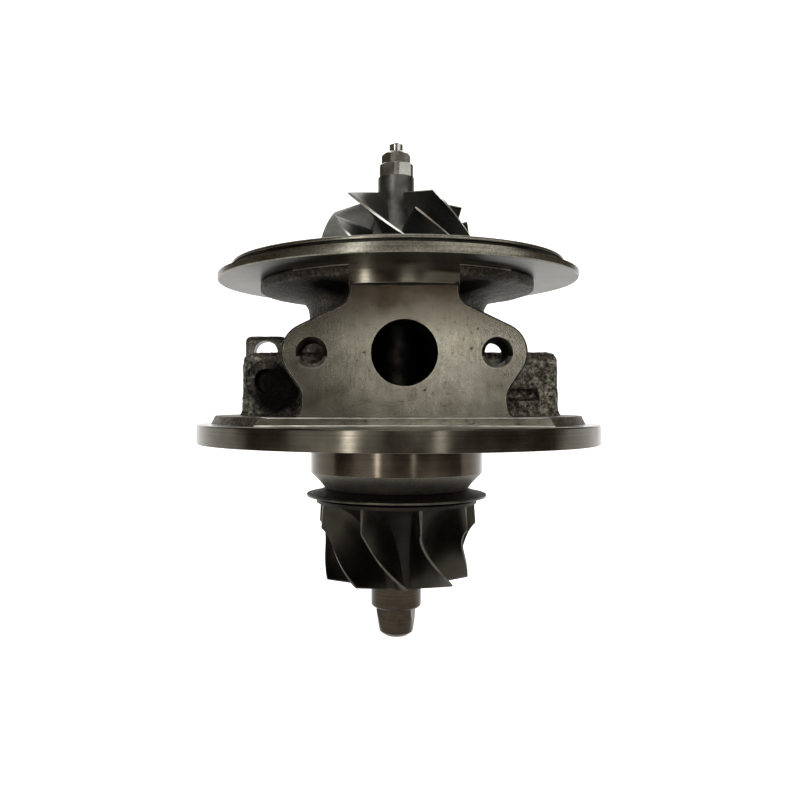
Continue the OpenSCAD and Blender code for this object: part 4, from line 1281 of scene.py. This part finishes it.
@dataclass
class InnerParts:
    """CAD nodes that keep their own meshes and get a finish."""

    nodes: dict[Finish, tuple[str, ...]] = field(default_factory=lambda: {
        Finish.SHAFT: ("rotor_shaft", "thrust_ring", "thrust_spacer", "flinger_sleeve"),
        Finish.BRONZE: ("turbine_journal_bearing", "compressor_journal_bearing", "thrust_bearing"),
        Finish.SPRING: ("turbine_clip_lower", "turbine_clip_upper", "compressor_clip_lower",
                        "compressor_clip_upper", "turbine_piston_ring", "compressor_piston_ring",
                        "retaining_ring"),
        Finish.PIN: ("thrust_pin_left", "thrust_pin_right"), Finish.SHEET: ("oil_deflector",),
        Finish.PLATE: ("seal_plate",), Finish.RUBBER: ("seal_plate_o_ring",)})

    def build(self, paint: Paint) -> None:
        """Gives each node its finish."""
        for finish, names in self.nodes.items():
            for name in names:
                paint.coat(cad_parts[name], finish)
                LOG.info("%s: %s", name, paint.made[finish].name)


# ---------------------------------------------------------------- studio


@dataclass
class Studio:
    """Camera, lights, floor and backdrop."""

    focal_px: float = 836.0
    middle_px: Point2 = (350.0, 403.5)
    axis_px: float = 396.08
    distance: float = 233.5
    height: float = 10.75
    floor_z: float = -53.9
    sensor_mm: float = 36.0
    paper: str = "#e8e8e6"
    room: str = "#655b4d"
    backdrop_r: float = 1100.0
    # First and last angle and height of each sheet of the backdrop, from the camera side round to the right
    backdrops: tuple[tuple[int, int, float], ...] = ((96, 138, 130), (138, 222, 2500), (222, 264, 110))
    # Half width, front and back of each sheet of the floor
    floors: tuple[Point3, ...] = ((1600, 0, 1200), (420, -420, 0))
    # Name, azimuth, elevation, distance, size and watts of each lamp
    lamps: tuple[tuple[str, float, float, float, Point2, float], ...] = (
        ("strip_left", -27, 6, 0.8, (0.06, 0.6), 2.0),
        ("panel_rim", -35, 0.2, 0.8, (0.75, 0.12), 0.36),
        ("strip_right", 19, 1, 0.9, (0.05, 0.16), 0.26),
        ("panel_face", 5.4, 5.6, 0.9, (0.16, 0.04), 0.36),
        ("panel_high", 48, 17, 0.9, (0.9, 0.14), 1.5),
        ("panel_edges", -8, 42, 0.9, (0.5, 0.2), 1.2),
        ("overhead", 0, 80, 0.9, (0.8, 0.6), 2.6),
        ("rear_fill", 180, 50, 1.1, (1.0, 0.5), 3.0))

    def camera(self) -> None:
        """Sets the camera level, with the shift that the photograph's framing needs."""
        data = bpy.data.cameras.new("camera")
        data.sensor_width = self.sensor_mm
        data.lens = self.sensor_mm * self.focal_px / IMAGE_PX
        data.shift_x = (IMAGE_PX / 2 - self.middle_px[0]) / IMAGE_PX
        data.shift_y = (self.middle_px[1] - IMAGE_PX / 2) / IMAGE_PX
        data.clip_start, data.clip_end = 0.01, 20
        camera = bpy.data.objects.new("camera", data)
        x = (self.middle_px[0] - self.axis_px) * self.distance / self.focal_px
        camera.location = Vector((x, -self.distance, self.height)) * MM
        camera.rotation_euler = (math.pi / 2, 0, 0)
        bpy.context.collection.objects.link(camera)
        bpy.context.scene.camera = camera

    def lamp(self, name: str, azimuth: float, elevation: float, distance: float, size: Point2,
             watts: float) -> None:
        """Adds a soft lamp that faces the part.

        Args:
            name: Name of the lamp.
            azimuth: Degrees to the right of the camera side.
            elevation: Degrees above the horizon.
            distance: Distance from the part, in metres.
            size: Width and height, in metres.
            watts: Power.
        """
        data = bpy.data.lights.new(name, "AREA")
        data.shape = "RECTANGLE"
        data.size, data.size_y = size
        data.energy = watts
        lamp = bpy.data.objects.new(name, data)
        a, e = math.radians(azimuth), math.radians(elevation)
        way = Vector((math.sin(a) * math.cos(e), -math.cos(a) * math.cos(e), math.sin(e)))
        lamp.location = way * distance
        lamp.rotation_euler = way.to_track_quat("Z", "Y").to_euler()
        bpy.context.collection.objects.link(lamp)

    def surroundings(self) -> None:
        """Makes the pale floor, the round backdrop with its low sides and a dim room in front of the part."""
        sheets = []
        z, radius = self.floor_z, self.backdrop_r
        for first, last, height in self.backdrops:
            way = [math.radians(a) for a in range(first, last + 1, 4)]
            sheets.append(line("backdrop", [
                Vector((radius * math.sin(a), -radius * math.cos(a), z)) for a in way]))
            bpy.ops.mesh.extrude_region_move(TRANSFORM_OT_translate={"value": (0, 0, height * MM)})
            leave()
        for half, front, back in self.floors:
            sheets.append(line("floor", [Vector((-half, front, z)), Vector((-half, back, z))]))
            bpy.ops.mesh.extrude_region_move(TRANSFORM_OT_translate={"value": (2 * half * MM, 0, 0)})
            leave()
        obj = join("studio_floor", sheets)
        material = bpy.data.materials.new("pale_paper")
        material.use_nodes = True
        tree = material.node_tree
        tree.nodes.clear()
        rays = add(tree, "LightPath")
        mirrored = add(tree, "Math", {0: rays.outputs["Is Camera Ray"], 1: rays.outputs["Is Glossy Ray"]},
                       operation="MAXIMUM")
        seen = add(tree, "Math", {0: mirrored, 1: rays.outputs["Is Transmission Ray"]}, operation="MAXIMUM")
        paper = add(tree, "BsdfDiffuse", {"Color": linear(self.paper)})
        glow = add(tree, "Emission", {"Color": linear("#ffffff"), "Strength": seen})
        both = add(tree, "AddShader", {0: paper, 1: glow})
        add(tree, "OutputMaterial", {"Surface": both})
        obj.data.materials.append(material)
        world = bpy.data.worlds.new("dim_room")
        world.use_nodes = True
        tree = world.node_tree
        feed(tree, tree.nodes["Background"], {"Color": linear(self.room), "Strength": 1.0})
        bpy.context.scene.world = world

    def build(self) -> None:
        """Sets up the studio."""
        self.camera()
        self.surroundings()
        for lamp in self.lamps:
            self.lamp(*lamp)
        bpy.context.scene.view_settings.view_transform = "Standard"


def turbine_wheel() -> TurbineWheel:
    """Turbine wheel with the meridian lines of the CAD model."""
    hub_r, disc_r, disc_z, out_z, inlet_z, drop = 6.9, 21.95, -16.51, -36.81, -22.71, 3.0
    tip_r, flare, overrun = 19.8, 2.6, 0.4
    return TurbineWheel(
        name="turbine_wheel_cast", node="turbine_wheel", slot=Slot.TURBINE, skin=Finish.TURBINE,
        edge=Finish.TURBINE_EDGE, blades=9, phase=-26.6, wrap=32, wrap_power=1.65, root_t=1.7, tip_t=0.6,
        hub_line=lambda s: (hub_r + (disc_r - hub_r) * (1 - math.sin(math.pi / 2 * s)),
                            disc_z - (disc_z - out_z + drop) * (1 - math.cos(math.pi / 2 * s))),
        tip_line=lambda s: (tip_r + flare * (1 - s) ** 6, inlet_z - (inlet_z - out_z + overrun) * s))


def compressor_wheel() -> CompressorWheel:
    """Compressor wheel with the meridian lines of the CAD model."""
    hub_r, out_r, in_r, disc_z, tip_z, eye_z, out_h = 5.025, 23.05, 19.0, 49.08, 66.18, 68.68, 3.0
    return CompressorWheel(
        name="compressor_wheel_cast", node="compressor_wheel", slot=Slot.WHEEL, skin=Finish.WHEEL,
        edge=Finish.WHEEL_EDGE, blades=5, phase=-45, wrap=52, wrap_power=0.92, root_t=1.3, tip_t=0.65,
        hub_line=lambda s: (hub_r + (out_r - hub_r) * (1 - math.cos(math.pi / 2 * s)),
                            eye_z - (eye_z - disc_z) * math.sin(math.pi / 2 * s)),
        tip_line=lambda s: (in_r + (out_r - in_r) * s**1.83, tip_z - (tip_z - disc_z - out_h) * s),
        starts=(0.0, 0.36))


def main() -> None:
    """Builds the studio and the cartridge, and logs the faces of each new piece."""
    logging.basicConfig(level=logging.INFO, format="%(name)s %(message)s")
    Studio().build()
    paint = Paint()
    InnerParts().build(paint)
    BearingHousing().build(paint)
    HeatShield().build(paint)
    turbine_wheel().build(paint)
    compressor_wheel().build(paint)
    ShaftNut().build(paint)


if __name__ == "__main__":
    main()
